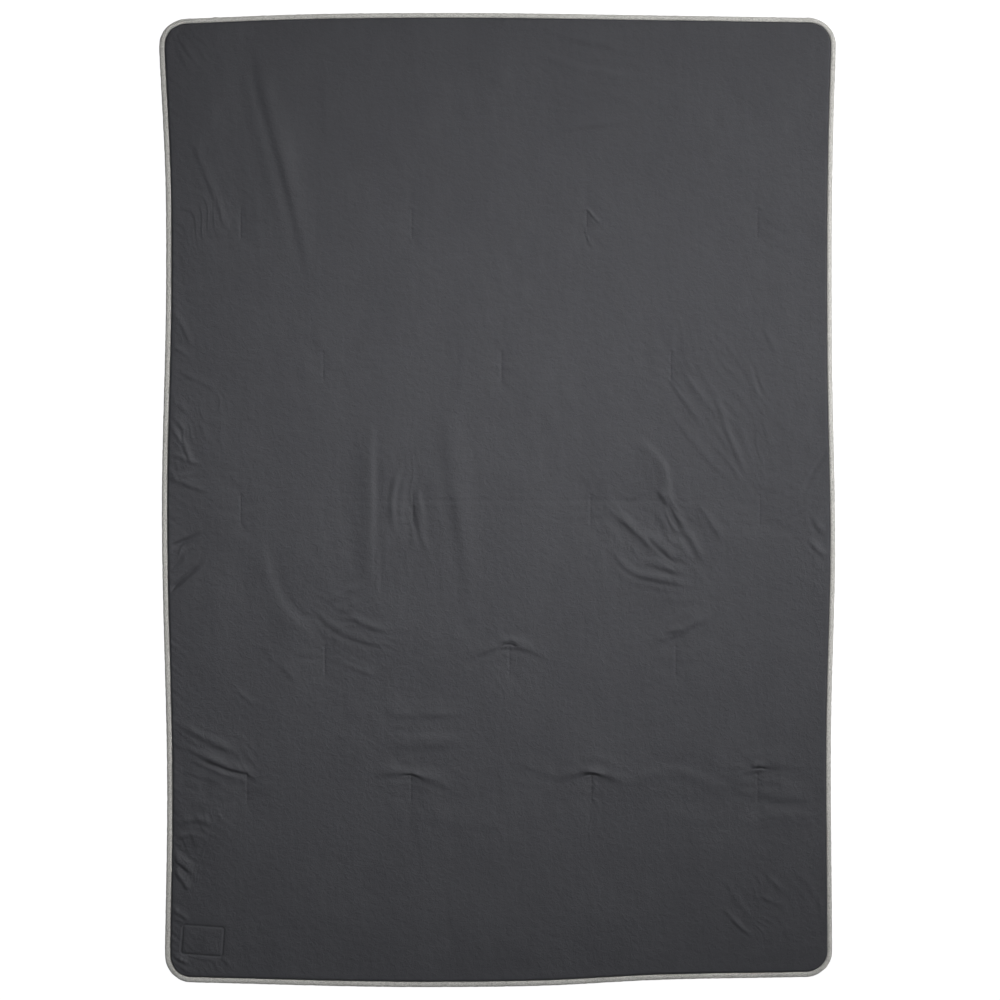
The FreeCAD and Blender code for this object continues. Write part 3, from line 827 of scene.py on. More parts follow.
def make_top():
    """The face: a fine outer layer, and a coarser inner layer a cloth's thickness under it."""
    lines_x, lines_y = face_lines()
    x, y = grid(lines_x, lines_y)
    px, py, z = soft_top(x, y)
    puff = puffed(lines_x, lines_y)
    px += puff[0].ravel()
    py += puff[1].ravel()
    z += puff[2].ravel()
    lift, shift_x, shift_y = np.zeros_like(z), np.zeros_like(z), np.zeros_like(z)
    for k, fold in enumerate(FOLDS + SAGS + TACK_CREASES):
        add_fold(px, py, lift, shift_x, shift_y, fold, 100 + k)
    for k, field in enumerate(WRINKLE_FIELDS):
        lift += wrinkle_field(px, py, field, 300 + 10 * k)
    inside = smooth((depth_in(x, y) - 2 * MM) / (10 * MM))
    z += lift * inside
    points = np.stack([px + shift_x * inside, py + shift_y * inside, z], axis=1)
    columns, rows = len(lines_x), len(lines_y)
    cloud = points.reshape(columns, rows, 3)
    inner = cloud[::INNER_SKIP, ::INNER_SKIP].copy()
    at_edge = inner[:, :, 2] - COVER_THICKNESS
    inner[:, :, 2] = lowest_nearby(cloud[:, :, 2], INNER_SKIP)[::INNER_SKIP, ::INNER_SKIP] - COVER_THICKNESS
    for edge in (np.s_[0, :], np.s_[-1, :], np.s_[:, 0], np.s_[:, -1]):
        inner[edge][..., 2] = at_edge[edge]
    inner_columns, inner_rows = inner.shape[:2]
    faces = grid_faces(columns, rows)
    faces += grid_faces(inner_columns, inner_rows, start=len(points), flip=True)
    inner_loop = [len(points) + i for i in border_loop(inner_columns, inner_rows)]
    faces += stitched_sides(border_loop(columns, rows), inner_loop)
    piece = new_mesh("top_cover_cloth", np.concatenate([points, inner.reshape(-1, 3)]), faces)
    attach(piece, "root")
    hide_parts("top_cover")
    return piece, inner, (lines_x[::INNER_SKIP], lines_y[::INNER_SKIP])


def under_height(x, y):
    """Plan place and height of the underside's outer surface, lowest at the floor."""
    (plan_x, plan_y), depth_x, depth_y = plan(x, y)
    depth = np.minimum(depth_x, depth_y)
    z = UNDER_EDGE * (1 - rise(np.maximum(depth_x, 0) * 1.6) * rise(np.maximum(depth_y, 0) * 1.6))
    for tack in TACKS.values():
        z += UNDER_DRAW * np.exp(-bar_distance(plan_x, plan_y, tack) / (13 * MM))
    from_edge = box_distance(*patch_frame(plan_x, plan_y), *PATCH_HALF, PATCH_R)
    z += UNDER_PATCH * smooth((5 * MM - from_edge) / (5 * MM))
    ripples = waves(21, 16, 0.16, 0.045)(plan_x, plan_y)
    z += UNDER_RIPPLE * np.maximum(ripples, 0) ** 1.5 * smooth(depth / (15 * MM))
    return plan_x, plan_y, z


def make_under():
    """The underside cover: two layers a cloth's thickness apart, joined at the seam."""
    lines_x = graded_lines(SEAM_X, UNDER_STEP, [], edge_step=UNDERSIDE_EDGE_STEP)
    lines_y = graded_lines(SEAM_Y, UNDER_STEP, [], edge_step=UNDERSIDE_EDGE_STEP)
    x, y = grid(lines_x, lines_y)
    outer = np.stack(under_height(x, y), axis=1)
    inner = outer + [0, 0, COVER_THICKNESS]
    columns, rows = len(lines_x), len(lines_y)
    faces = grid_faces(columns, rows, flip=True)
    faces += grid_faces(columns, rows, start=len(outer))
    faces += side_walls(border_loop(columns, rows), len(outer))
    piece = new_mesh("bottom_cover_cloth", np.concatenate([outer, inner]), faces)
    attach(piece, "root")
    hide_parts("bottom_cover")
    return piece


def make_batting(under_face, lines):
    """The wadding that fills the space between the covers, trimmed clear of the seam."""
    lines_x, lines_y = lines
    keep_x = np.flatnonzero(SEAM_X - np.abs(lines_x) > BATTING_TRIM)
    keep_y = np.flatnonzero(SEAM_Y - np.abs(lines_y) > BATTING_TRIM)
    top = under_face[np.ix_(keep_x, keep_y)].copy()
    top[:, :, 2] -= LAYER_GAP
    x, y = grid(lines_x[keep_x], lines_y[keep_y])
    low_z = under_height(x, y)[2] + COVER_THICKNESS + LAYER_GAP
    over_flange = np.maximum(low_z, PIPING_R + FLANGE_HALF + LAYER_GAP)
    low_z = np.where(depth_in(x, y) < ALLOWANCE + 1 * MM, over_flange, low_z)
    columns, rows = len(keep_x), len(keep_y)
    low = top.reshape(-1, 3).copy()
    low[:, 2] = np.minimum(low_z, low[:, 2] - 0.5 * MM)
    faces = grid_faces(columns, rows)
    faces += grid_faces(columns, rows, start=len(low), flip=True)
    faces += [face[::-1] for face in side_walls(border_loop(columns, rows), len(low))]
    piece = new_mesh("batting_fibre_pad", np.concatenate([top.reshape(-1, 3), low]), faces)
    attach(piece, "root")
    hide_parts("batting")
    return piece


# ---- The piping and its seam ----
def outline(inset, spacing):
    """Points along the quilt's own edge, so far inside it, counterclockwise from its upper right corner."""
    half_x, half_y, radius = HALF_X - inset, HALF_Y - inset, CORNER_R - inset
    corners = [(half_x - radius, half_y - radius), (radius - half_x, half_y - radius)]
    corners += [(-x, -y) for x, y in corners]

    def on_corner(k, share):
        angle = math.pi / 2 * (k + share)
        return corners[k][0] + radius * math.cos(angle), corners[k][1] + radius * math.sin(angle)

    points = []
    turns = max(int(radius * math.pi / 2 / spacing), 6)
    for k in range(4):
        points += [on_corner(k, step / turns) for step in range(turns)]
        start, end = on_corner(k, 1), on_corner((k + 1) % 4, 0)
        count = max(int(math.dist(start, end) / spacing), 1)
        for step in range(count):
            share = step / count
            points.append((start[0] + (end[0] - start[0]) * share, start[1] + (end[1] - start[1]) * share))
    points = np.array(points)
    x, y = stray(points[:, 0], points[:, 1])
    return np.stack([x, y], axis=1)


def edge_path(inset, spacing):
    """An outline with the level direction out of it, the distance along it at each point, and its length."""
    path = outline(inset, spacing)
    ahead = np.roll(path, -1, axis=0) - np.roll(path, 1, axis=0)
    ahead /= np.linalg.norm(ahead, axis=1)[:, None]
    steps = np.linalg.norm(np.roll(path, -1, axis=0) - path, axis=1)
    along = np.concatenate([[0], np.cumsum(steps)])
    return path, np.stack([ahead[:, 1], -ahead[:, 0]], axis=1), along[:-1, None], along[-1]


def swept(path, out, sections, flip=False):
    """Points and faces of a closed sweep, whose sections are loops of (outward, height) pairs."""
    count, sides = sections.shape[:2]
    points = np.zeros((count, sides, 3))
    points[:, :, :2] = path[:, None, :] + out[:, None, :] * sections[:, :, :1]
    points[:, :, 2] = sections[:, :, 1]
    i = np.arange(count)[:, None]
    j = np.arange(sides)[None, :]
    next_i, next_j = (i + 1) % count, (j + 1) % sides
    here, ahead = i * sides, next_i * sides
    quads = np.stack([here + j, ahead + j, ahead + next_j, here + next_j], axis=-1).reshape(-1, 4)
    return points.reshape(-1, 3), (quads[:, ::-1] if flip else quads)


def whole_waves(length, wavelength):
    """How many whole waves of about this wavelength fit the closed length."""
    return max(round(length / wavelength), 1)


def piping_pucker(along, length, angle):
    """The slanting gathers of the strip round its cord, as a change of radius."""
    ripple = np.zeros(np.broadcast(along, angle).shape)
    rng = np.random.default_rng(31)
    for wavelength, height in ((9, 0.05), (13, 0.08), (17, 0.09), (23, 0.09), (37, 0.08), (61, 0.07)):
        turns = whole_waves(length, wavelength * MM) * TURN / length
        slant, phase = rng.uniform(0.6, 1.8), rng.uniform(0, TURN)
        ripple += height * MM * np.sin(turns * along + slant * angle + phase)
    return ripple


def piping_ring(path, out, along, length):
    """The rounded part of the piping: gathered, fuller towards the seam, and thick where its ends overlap."""
    join = np.argmin(np.hypot(path[:, 0] - JOIN_AT[0], path[:, 1] - JOIN_AT[1]))
    from_join = (along - along[join] + length / 2) % length - length / 2
    bulge = 1.0 * MM * np.exp(-((from_join / (3.5 * MM)) ** 2))
    bulge = bulge + 0.35 * MM * smooth(1 - np.abs(from_join) / (14 * MM))
    throat = math.asin(FLANGE_HALF / PIPING_R)
    angle = np.linspace(-math.pi + throat, math.pi - throat, PIPING_SIDES)[None, :]
    settle = np.sin((angle + math.pi) / 2)
    fullness = (0.27 - 0.13 * (out[:, :1] + out[:, 1:])) * PIPING_R
    to_seam = fullness * np.exp(-(((angle - 2.45) / 0.5) ** 2)) * smooth((math.pi - angle) / 0.35)
    radius = PIPING_R + (piping_pucker(along, length, angle) + bulge) * settle + to_seam
    height = PIPING_R + radius * np.sin(angle)
    return np.stack([radius * np.cos(angle), np.maximum(height, 0.05 * MM)], axis=2)


def make_piping():
    """The strip folded round the cord, with both its raw edges caught in the seam."""
    path, out, along, length = edge_path(PIPING_R, PIPING_STEP)
    reach = PIPING_R + ALLOWANCE + 0.7 * MM * np.sin(along * TURN * whole_waves(length, 0.05) / length)
    flange = []
    for share, side in ((0.33, 1), (0.66, 1), (1.0, 1), (1.0, -1), (0.66, -1), (0.33, -1)):
        inward = -(PIPING_R + (reach - PIPING_R) * share)
        flange.append(np.stack([inward, np.full_like(inward, PIPING_R + side * FLANGE_HALF)], axis=2))
    sections = np.concatenate([piping_ring(path, out, along, length)] + flange, axis=1)
    outer_points, outer_faces = swept(path, out, sections)
    angle = np.linspace(0, TURN, 20, endpoint=False)
    hole_r = PIPING_R - COVER_THICKNESS
    hole = np.stack([hole_r * np.cos(angle), PIPING_R + hole_r * np.sin(angle)], axis=1)
    hole = np.broadcast_to(hole, (len(path),) + hole.shape)
    inner_points, inner_faces = swept(path, out, hole, flip=True)
    faces = outer_faces.tolist() + (inner_faces + len(outer_points)).tolist()
    piece = new_mesh("piping_sleeve", np.concatenate([outer_points, inner_points]), faces)
    steps = np.linalg.norm(np.diff(sections, axis=1, append=sections[:, :1]), axis=2)
    around = np.cumsum(steps, axis=1)
    outer_run = np.stack([np.broadcast_to(along, around.shape), around, np.zeros_like(around)], axis=2)
    run = piece.data.attributes.new("strip_run", "FLOAT_VECTOR", "POINT")
    run.data.foreach_set("vector", np.append(outer_run.ravel(), np.zeros(inner_points.size)))
    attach(piece, "root")
    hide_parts("piping_cover")
    return piece


def make_cord():
    """The three-strand cotton cord inside the piping."""
    path, out, along, length = edge_path(PIPING_R, 4 * MM)
    angle = np.linspace(0, TURN, 18, endpoint=False)[None, :]
    twist = whole_waves(length, 0.034) * TURN / length
    radius = CORD_R * (0.93 + 0.07 * np.abs(np.cos(1.5 * (angle - twist * along))))
    sections = np.stack([radius * np.cos(angle), PIPING_R + radius * np.sin(angle)], axis=2)
    points, faces = swept(path, out, sections)
    piece = new_mesh("piping_filler_cord", points, faces.tolist())
    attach(piece, "root")
    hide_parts("piping_cord")
    return piece


def make_seam_thread(name, node, height):
    """One thread of the edge seam, which rises and sinks a little with each stitch."""
    path, out, along, length = edge_path(SEAM_THREAD_INSET, 2 * MM)
    angle = np.linspace(0, TURN, 6, endpoint=False)[None, :]
    beat = 0.12 * MM * np.cos(along * TURN * whole_waves(length, 8 * MM) / length)
    across = THREAD_R * np.cos(angle) + 0 * along
    sections = np.stack([across, height + beat + 0.28 * MM * np.sin(angle)], axis=2)
    points, faces = swept(path, out, sections)
    piece = new_mesh(name, points, faces.tolist())
    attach(piece, "root")
    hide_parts(node)
    return piece


# ---- Stitches that go through the quilt ----
def thread_tube(path, radius, sides=6):
    """Points and faces of a closed-ended round thread along a path of 3D points."""
    path = np.asarray(path, float)
    ahead = np.gradient(path, axis=0)
    ahead /= np.linalg.norm(ahead, axis=1)[:, None]
    reference = np.array([1.0, 0.02, 0.0])
    if np.abs(ahead[:, 0]).mean() > 0.7:
        reference = np.array([0.02, 1.0, 0.0])
    side = np.cross(ahead, reference)
    side /= np.linalg.norm(side, axis=1)[:, None]
    other = np.cross(ahead, side)
    angle = np.linspace(0, TURN, sides, endpoint=False)
    round_it = side[:, None] * np.cos(angle)[None, :, None] + other[:, None] * np.sin(angle)[None, :, None]
    ring = path[:, None] + radius * round_it
    faces = []
    for i in range(len(path) - 1):
        for j in range(sides):
            a, b = i * sides + j, i * sides + (j + 1) % sides
            faces.append([a, a + sides, b + sides, b])
    faces.append(list(range(sides)))
    faces.append([(len(path) - 1) * sides + j for j in range(sides)][::-1])
    return ring.reshape(-1, 3), faces


def stitch_path(holes, surface, middle):
    """A thread that lies on a surface between holes and dips through each hole to the middle height."""
    points = []
    for a, b, z_here in zip(holes, holes[1:], surface):
        dipping = z_here + (middle - z_here) * 0.45
        proud = z_here + (STITCH_PROUD if z_here > middle else -STITCH_PROUD)
        steps = ((0.0, middle), (0.1, dipping), (0.24, z_here), (0.5, proud), (0.76, z_here), (0.9, dipping))
        for share, z in steps:
            points.append((a[0] + (b[0] - a[0]) * share, a[1] + (b[1] - a[1]) * share, z))
    points.append((holes[-1][0], holes[-1][1], middle))
    return points


def stitches(name, holes, tops, bottoms, radius):
    """A needle thread and a bobbin thread through the same holes, which meet inside the quilt."""
    points, faces = [], []
    for surface, middle in ((tops, STITCH_LOCK_Z), (bottoms, STITCH_LOCK_Z - THREAD_APART)):
        tube_points, tube_faces = thread_tube(stitch_path(holes, surface, middle), radius)
        faces += [[len(points) + i for i in face] for face in tube_faces]
        points += tube_points.tolist()
    piece = new_mesh(name, points, faces)
    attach(piece, "root")
    return piece


def face_reader(piece):
    """Reads the height of the face near a plan point from the finished top mesh."""
    tree = BVHTree.FromObject(piece, bpy.context.evaluated_depsgraph_get())

    def height(x, y):
        return tree.ray_cast((x, y, 0.1), (0, 0, -1))[0].z

    return height


def make_tack(name, box, height):
    """One tie tack: a row of short stitches through all the layers, its two threads meeting in the middle."""
    low, high = box
    rng = np.random.default_rng(int(1000 * (high.y + 2)) + int(1000 * (high.x + 2)))
    count = round((high.y - low.y) / TACK_PITCH)
    end = 0.6 * MM
    y = np.linspace(low.y + end, high.y - end, count + 1)
    x = (low.x + high.x) / 2 + rng.uniform(-0.5, 0.5, count + 1) * MM
    holes = np.stack([x, y], axis=1)
    tops = [height(a, b) + THREAD_ABOVE for a, b in (holes[1:] + holes[:-1]) / 2]
    piece = stitches(name + "_stitches", holes, tops, [low.z + 0.3 * MM] * count, THREAD_R)
    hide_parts(name)
    return piece


def patch_holes():
    """Evenly spaced points on the patch's stitched rectangle, in plan."""
    radius = PATCH_STITCH_R
    half_x, half_y = PATCH_STITCHED[0] / 2 - radius, PATCH_STITCHED[1] / 2 - radius
    dense = []
    for quarter, (side_x, side_y) in enumerate(((1, 1), (-1, 1), (-1, -1), (1, -1))):
        for step in range(9):
            angle = math.pi / 2 * (quarter + step / 8)
            x, y = radius * math.cos(angle), radius * math.sin(angle)
            dense.append((side_x * half_x + x, side_y * half_y + y))
    dense = np.array(dense + dense[:1])
    along = np.concatenate([[0], np.cumsum(np.linalg.norm(np.diff(dense, axis=0), axis=1))])
    at = np.linspace(0, along[-1], round(along[-1] / PATCH_PITCH) + 1)
    return np.stack(from_patch(np.interp(at, along, dense[:, 0]), np.interp(at, along, dense[:, 1])), axis=1)


def make_patch_stitching(height):
    """The patch's stitching: its needle thread shows on the face, its bobbin thread on the patch."""
    holes = patch_holes()
    tops = [height(a, b) + THREAD_ABOVE for a, b in (holes[1:] + holes[:-1]) / 2]
    piece = stitches("patch_stitches", holes, tops, [PATCH_LOW - 0.05 * MM] * len(tops), THREAD_R * 0.8)
    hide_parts("patch_stitching")
    return piece


def make_patch():
    """The patch under the foot's left corner, its raw edges turned in and its face drawn in by stitches."""
    lines_x, lines_y = [graded_lines(half, 2 * MM, [], edge_step=0.7 * MM) for half in PATCH_HALF]
    x, y = round_corners(*grid(lines_x, lines_y), *PATCH_HALF, PATCH_R)
    inside = -box_distance(x, y, *PATCH_HALF, PATCH_R)
    from_stitch = np.abs(inside - PATCH_MARGIN)
    roll = 0.5 * MM * smooth(1 - inside / (1.6 * MM))
    bulge = 0.25 * MM * smooth(1 - np.abs(inside - 1.3 * MM) / (1.5 * MM))
    low_z = PATCH_LOW + roll - bulge + 0.3 * MM * np.exp(-((from_stitch / (0.8 * MM)) ** 2))
    low_z -= 0.12 * MM * waves(41, 8, 0.03, 0.012)(x, y) * smooth(inside / (6 * MM))
    low_z = np.maximum(low_z, 0.05 * MM)
    outer = np.stack([*from_patch(x, y), low_z], axis=1)
    inner = outer.copy()
    inner[:, 2] = PATCH_LOW + PATCH_THICKNESS
    columns, rows = len(lines_x), len(lines_y)
    faces = grid_faces(columns, rows, flip=True) + grid_faces(columns, rows, start=len(outer))
    faces += side_walls(border_loop(columns, rows), len(outer))
    piece = new_mesh("patch_twill", np.concatenate([outer, inner]), faces)
    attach(piece, "root")
    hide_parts("patch")
    return piece


# ---- Materials ----
class Cloth:
    """A node material under way: one shader, with helpers for the nodes that feed it."""

    def __init__(self, name, roughness, sheen, sheen_roughness, sheen_tint, specular=0.3):
        self.material = bpy.data.materials.new(name)
        self.material.use_nodes = True
        self.nodes = self.material.node_tree.nodes
        self.links = self.material.node_tree.links
        self.shader = self.nodes["Principled BSDF"]
        self.shader.inputs["Roughness"].default_value = roughness
        self.shader.inputs["Specular IOR Level"].default_value = specular
        self.shader.inputs["Sheen Weight"].default_value = sheen
        self.shader.inputs["Sheen Roughness"].default_value = sheen_roughness
        self.shader.inputs["Sheen Tint"].default_value = (*sheen_tint, 1)

    def add(self, kind, links=(), **values):
        """A new node with these socket values, and its (value, socket) links."""
        node = self.nodes.new("ShaderNode" + kind)
        for socket, value in values.items():
            node.inputs[socket.replace("_", " ")].default_value = value
        for value, socket in links:
            self.links.new(value, node.inputs[socket])
        return node

    def place(self, scale=(1, 1, 1), attribute=None, turn=0.0):
        """Where on the piece a point is, in its own axes or from an attribute."""
        if attribute:
            source = self.add("Attribute")
            source.attribute_name = attribute
            output = source.outputs["Vector"]
        else:
            output = self.add("TexCoord").outputs["Object"]
        mapping = self.add("Mapping", [(output, "Vector")], Scale=scale, Rotation=(0, 0, turn))
        return mapping.outputs["Vector"]

    def noise(self, vector, scale, detail=2.0, roughness=0.5, distortion=0.0):
        node = self.add("TexNoise", [(vector, "Vector")], Scale=scale, Detail=detail, Roughness=roughness,
                        Distortion=distortion)
        return node.outputs["Fac"]

    def bands(self, vector, scale, distortion=0.0, direction="X"):
        node = self.add("TexWave", [(vector, "Vector")], Scale=scale, Distortion=distortion, Detail=1.0)
        node.bands_direction = direction
        return node.outputs["Fac"]

    def ramp(self, value, stops):
        node = self.add("ValToRGB", [(value, "Fac")])
        elements = node.color_ramp.elements
        while len(elements) < len(stops):
            elements.new(0.5)
        for element, (place, colour) in zip(elements, stops):
            element.position = place
            element.color = (*colour, 1)
        return node.outputs["Color"]

    def shade(self, value, low, dark, high):
        """A grey that is white from high up and this dark from low down."""
        return self.ramp(value, [(low, (dark,) * 3), (high, (1.0,) * 3)])

    def times(self, first, second):
        """One colour multiplied by another."""
        node = self.add("Mix")
        node.data_type = "RGBA"
        node.blend_type = "MULTIPLY"
        node.inputs[0].default_value = 1.0
        self.links.new(first, node.inputs[6])
        self.links.new(second, node.inputs[7])
        return node.outputs[2]

    def total(self, parts):
        """A weighted sum of values."""
        sum_so_far = None
        for value, weight in parts:
            node = self.add("Math", [(value, 0)])
            node.operation = "MULTIPLY_ADD"
            node.inputs[1].default_value = weight
            node.inputs[2].default_value = 0.0
            if sum_so_far:
                self.links.new(sum_so_far, node.inputs[2])
            sum_so_far = node.outputs[0]
        return sum_so_far

    def bump(self, height, distance, strength=1.0):
        node = self.add("Bump", [(height, "Height")], Distance=distance, Strength=strength)
        self.links.new(node.outputs["Normal"], self.shader.inputs["Normal"])

    def colour(self, output):
        self.links.new(output, self.shader.inputs["Base Color"])

    def roughness_from(self, value, low, high):
        node = self.add("MapRange", [(value, "Value")], To_Min=low, To_Max=high)
        self.links.new(node.outputs["Result"], self.shader.inputs["Roughness"])

    def put_on(self, *pieces):
        for piece in pieces:
            piece.data.materials.clear()
            piece.data.materials.append(self.material)


def cover_cloth():
    """Charcoal brushed knit: slight mottling, a nap in faint streaks, a fine grain and a soft crinkle."""
    cloth = Cloth("charcoal_brushed_knit", 0.6, 0.05, 0.45, (0.85, 0.9, 1.0), specular=0.55)
    here = cloth.place()
    streaky = cloth.place(scale=(1, 0.16, 1))
    mottle = cloth.noise(here, 14, detail=4, roughness=0.6)
    streaks = cloth.noise(streaky, 95, detail=3)
    grain = cloth.noise(here, 560, detail=4, roughness=0.75)
    crinkle = cloth.noise(here, 104, detail=3, roughness=0.6, distortion=0.7)
    base = cloth.ramp(mottle, [(0.3, (0.0458, 0.0462, 0.0538)), (0.7, (0.0527, 0.0536, 0.0612))])
    lines = cloth.shade(streaks, 0.3, 0.93, 0.7)
    speckle = cloth.shade(grain, 0.3, 0.80, 0.72)
    cloth.colour(cloth.times(cloth.times(base, lines), speckle))
    wales = cloth.bands(here, 390, distortion=4.0)
    cloth.bump(cloth.total([(grain, 0.4), (wales, 0.03), (streaks, 0.15), (crinkle, 0.9)]), 2.4 * MM, 0.58)
    cloth.roughness_from(mottle, 0.57, 0.66)
    return cloth


def under_cloth():
    """Matte dark woven cloth."""
    cloth = Cloth("dark_charcoal_weave", 0.9, 0.06, 0.5, (0.9, 0.9, 1.0), specular=0.2)
    here = cloth.place()
    warp = cloth.bands(here, 520, distortion=0.6)
    weft = cloth.bands(here, 480, distortion=0.6, direction="Y")
    mottle = cloth.noise(here, 20, detail=4)
    grain = cloth.noise(here, 800, detail=2)
    base = cloth.ramp(mottle, [(0.3, (0.032, 0.033, 0.037)), (0.7, (0.040, 0.041, 0.046))])
    speckle = cloth.shade(grain, 0.3, 0.8, 0.7)
    cloth.colour(cloth.times(base, speckle))
    cloth.bump(cloth.total([(warp, 0.5), (weft, 0.5), (grain, 0.4)]), 0.2 * MM, 0.7)
    cloth.roughness_from(mottle, 0.85, 0.95)
    return cloth


def piping_cloth():
    """Light heather grey jersey: pale and dark fibres mixed along the strip."""
    cloth = Cloth("heather_grey_jersey", 0.85, 0.25, 0.5, (1.0, 0.98, 0.95), specular=0.25)
    run = cloth.place(scale=(0.35, 1, 1), attribute="strip_run")
    even = cloth.place(attribute="strip_run")
    fibres = cloth.noise(run, 900, detail=4, roughness=0.75)
    flecks = cloth.noise(run, 420, detail=3, roughness=0.7)
    cloudy = cloth.noise(even, 60, detail=3)
    dark, middle, pale = (0.375, 0.368, 0.35), (0.66, 0.648, 0.608), (0.82, 0.80, 0.755)
    base = cloth.ramp(fibres, [(0.33, dark), (0.5, middle), (0.66, pale)])
    fleck = cloth.shade(flecks, 0.32, 0.62, 0.48)
    cloud = cloth.shade(cloudy, 0.35, 0.9, 0.65)
    cloth.colour(cloth.times(cloth.times(base, fleck), cloud))
    ribs = cloth.bands(even, 330, distortion=1.2)
    cloth.bump(cloth.total([(fibres, 0.7), (ribs, 0.3)]), 0.3 * MM, 0.6)
    cloth.roughness_from(fibres, 0.78, 0.92)
    return cloth


def wadding():
    """White polyester fibre."""
    cloth = Cloth("white_fibre_wadding", 0.9, 0.3, 0.5, (1.0, 1.0, 1.0))
    here = cloth.place(scale=(1, 0.5, 1))
    fibres = cloth.noise(here, 300, detail=5, roughness=0.7)
    clumps = cloth.noise(here, 45, detail=3)
    base = cloth.ramp(fibres, [(0.3, (0.70, 0.70, 0.68)), (0.6, (0.84, 0.84, 0.82))])
    cloth.colour(base)
    cloth.bump(cloth.total([(fibres, 0.6), (clumps, 0.8)]), 0.8 * MM, 0.8)
    cloth.roughness_from(clumps, 0.85, 0.95)
    return cloth


def cotton_cord():
    """Unbleached twisted cotton."""
    cloth = Cloth("unbleached_cotton_cord", 0.85, 0.2, 0.5, (1.0, 0.97, 0.9))
    here = cloth.place()
    yarn = cloth.noise(here, 500, detail=4, roughness=0.65)
    base = cloth.ramp(yarn, [(0.3, (0.62, 0.59, 0.52)), (0.7, (0.80, 0.78, 0.72))])
    cloth.colour(base)
    cloth.bump(yarn, 0.4 * MM, 0.8)
    cloth.roughness_from(yarn, 0.78, 0.92)
    return cloth


def thread():
    """Charcoal polyester sewing thread with a slight shine."""
    cloth = Cloth("charcoal_thread", 0.75, 0.1, 0.3, (1.0, 1.0, 1.0), specular=0.25)
    here = cloth.place()
    plies = cloth.noise(here, 1400, detail=3)
    base = cloth.ramp(plies, [(0.3, (0.05, 0.05, 0.056)), (0.7, (0.115, 0.115, 0.124))])
    cloth.colour(base)
    cloth.bump(plies, 0.15 * MM, 0.7)
    cloth.roughness_from(plies, 0.65, 0.85)
    return cloth


def patch_twill():
    """Dark grey twill, with its slanting lines about a millimetre apart."""
    cloth = Cloth("dark_grey_twill", 0.85, 0.1, 0.5, (0.9, 0.95, 1.0))
    slanted = cloth.place(turn=math.radians(40))
    here = cloth.place()
    lines = cloth.bands(slanted, 300, distortion=0.3)
    grain = cloth.noise(here, 900, detail=3)
    base = cloth.ramp(lines, [(0.2, (0.055, 0.055, 0.06)), (0.7, (0.085, 0.085, 0.09))])
    speckle = cloth.shade(grain, 0.3, 0.8, 0.7)
    cloth.colour(cloth.times(base, speckle))
    cloth.bump(cloth.total([(lines, 0.7), (grain, 0.4)]), 0.25 * MM, 0.8)
    cloth.roughness_from(grain, 0.78, 0.92)
    return cloth


# ---- The stage: floor, lights and camera ----
def make_floor():
    """A plain pale floor that glows, so that it is as white as the photo's ground."""
    corners = [(x * FLOOR_HALF, y * FLOOR_HALF, FLOOR_Z) for x, y in ((-1, -1), (1, -1), (1, 1), (-1, 1))]
    floor = new_mesh("quilt_floor", corners, [[0, 1, 2, 3]], shade_smooth=False)
    paint = bpy.data.materials.new("pale_floor")
    paint.use_nodes = True
    shader = paint.node_tree.nodes["Principled BSDF"]
    shader.inputs["Base Color"].default_value = (FLOOR_PAINT, FLOOR_PAINT, FLOOR_PAINT, 1)
    shader.inputs["Roughness"].default_value = 0.95
    shader.inputs["Specular IOR Level"].default_value = 0.0
    shader.inputs["Emission Color"].default_value = (1, 1, 1, 1)
    shader.inputs["Emission Strength"].default_value = FLOOR_GLOW
    floor.data.materials.append(paint)
    floor.visible_glossy = False
    floor.visible_diffuse = False


def lamp(name, place, target, size, spread, watts):
    """An area lamp that shines from a place towards a target. A size of two numbers makes it a rectangle."""
    data = bpy.data.lights.new(name, "AREA")
    data.shape = "RECTANGLE" if len(size) == 2 else "DISK"
    data.size = size[0]
    data.size_y = size[-1]
    data.spread = math.radians(spread)
    data.energy = watts
    piece = bpy.data.objects.new(name, data)
    bpy.context.scene.collection.objects.link(piece)
    piece.location = place
    piece.rotation_euler = (Vector(target) - Vector(place)).to_track_quat("-Z", "Y").to_euler()


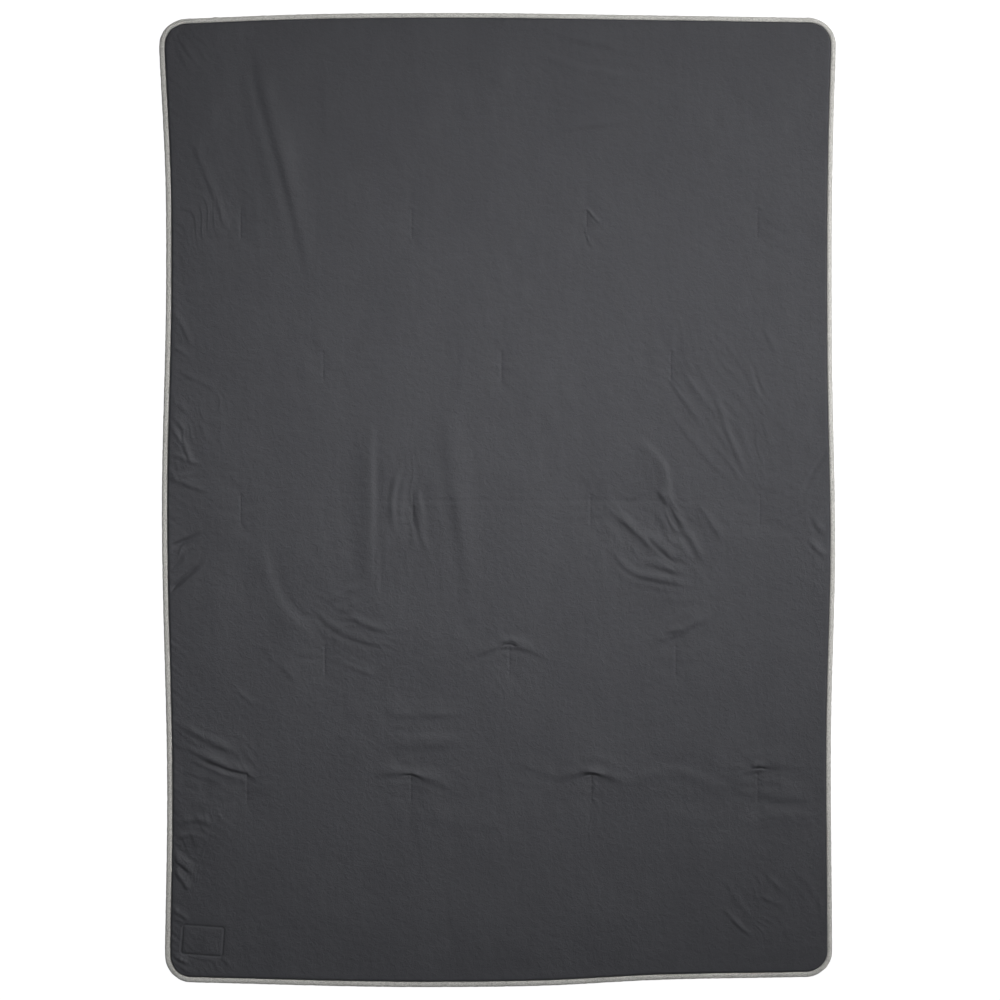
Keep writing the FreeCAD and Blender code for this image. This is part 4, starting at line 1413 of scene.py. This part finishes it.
def make_lights():
    """Soft light from all round, a key lamp off to the right and the head, and a strip lamp overhead."""
    world = bpy.data.worlds.new("soft_studio")
    world.use_nodes = True
    nodes, links = world.node_tree.nodes, world.node_tree.links
    background = nodes["Background"]
    background.inputs["Color"].default_value = WORLD_TINT
    background.inputs["Strength"].default_value = WORLD_LIGHT
    backdrop = nodes.new("ShaderNodeBackground")
    backdrop.inputs["Color"].default_value = BACKDROP
    backdrop.inputs["Strength"].default_value = 1.0
    choice = nodes.new("ShaderNodeMixShader")
    links.new(nodes.new("ShaderNodeLightPath").outputs["Is Camera Ray"], choice.inputs["Fac"])
    links.new(background.outputs["Background"], choice.inputs[1])
    links.new(backdrop.outputs["Background"], choice.inputs[2])
    links.new(choice.outputs["Shader"], nodes["World Output"].inputs["Surface"])
    bpy.context.scene.world = world
    compass, climb = math.radians(KEY_COMPASS), math.radians(KEY_RISE)
    level = KEY_FAR * math.cos(climb)
    key_x = KEY_AIM[0] + level * math.cos(compass)
    key_y = KEY_AIM[1] + level * math.sin(compass)
    lamp("key", (key_x, key_y, KEY_FAR * math.sin(climb)), KEY_AIM, [KEY_SIZE], KEY_SPREAD, KEY_WATTS)
    lamp("fill", (*FILL_OVER, FILL_HIGH), (*FILL_OVER, 0), FILL_SIZE, FILL_SPREAD, FILL_WATTS)


def make_camera():
    """A long lens straight above, so high that the quilt fills its share of the picture's width."""
    data = bpy.data.cameras.new("camera")
    data.lens = LENS
    data.sensor_width = SENSOR
    data.clip_end = 50
    camera = bpy.data.objects.new("camera", data)
    bpy.context.scene.collection.objects.link(camera)
    camera.location = (CAMERA_ASIDE, 0, 2 * HALF_X / QUILT_SHARE * LENS / SENSOR)
    bpy.context.scene.camera = camera


def main():
    """Makes every piece, gives each its material, and sets the stage."""
    top, under_face, lines = make_top()
    under = make_under()
    batting = make_batting(under_face, lines)
    piping = make_piping()
    cord = make_cord()
    height = face_reader(top)
    threads = [
        make_seam_thread("seam_needle_stitches", "seam_needle_thread", PIPING_R + SEAM_THREAD_APART),
        make_seam_thread("seam_bobbin_stitches", "seam_bobbin_thread", PIPING_R - SEAM_THREAD_APART),
    ]
    threads += [make_tack(name, box, height) for name, box in TACKS.items()]
    threads.append(make_patch_stitching(height))
    patch = make_patch()
    cover_cloth().put_on(top)
    under_cloth().put_on(under)
    piping_cloth().put_on(piping)
    wadding().put_on(batting)
    cotton_cord().put_on(cord)
    thread().put_on(*threads)
    patch_twill().put_on(patch)
    make_floor()
    make_lights()
    make_camera()
    bpy.context.scene.view_settings.view_transform = "Standard"


main()
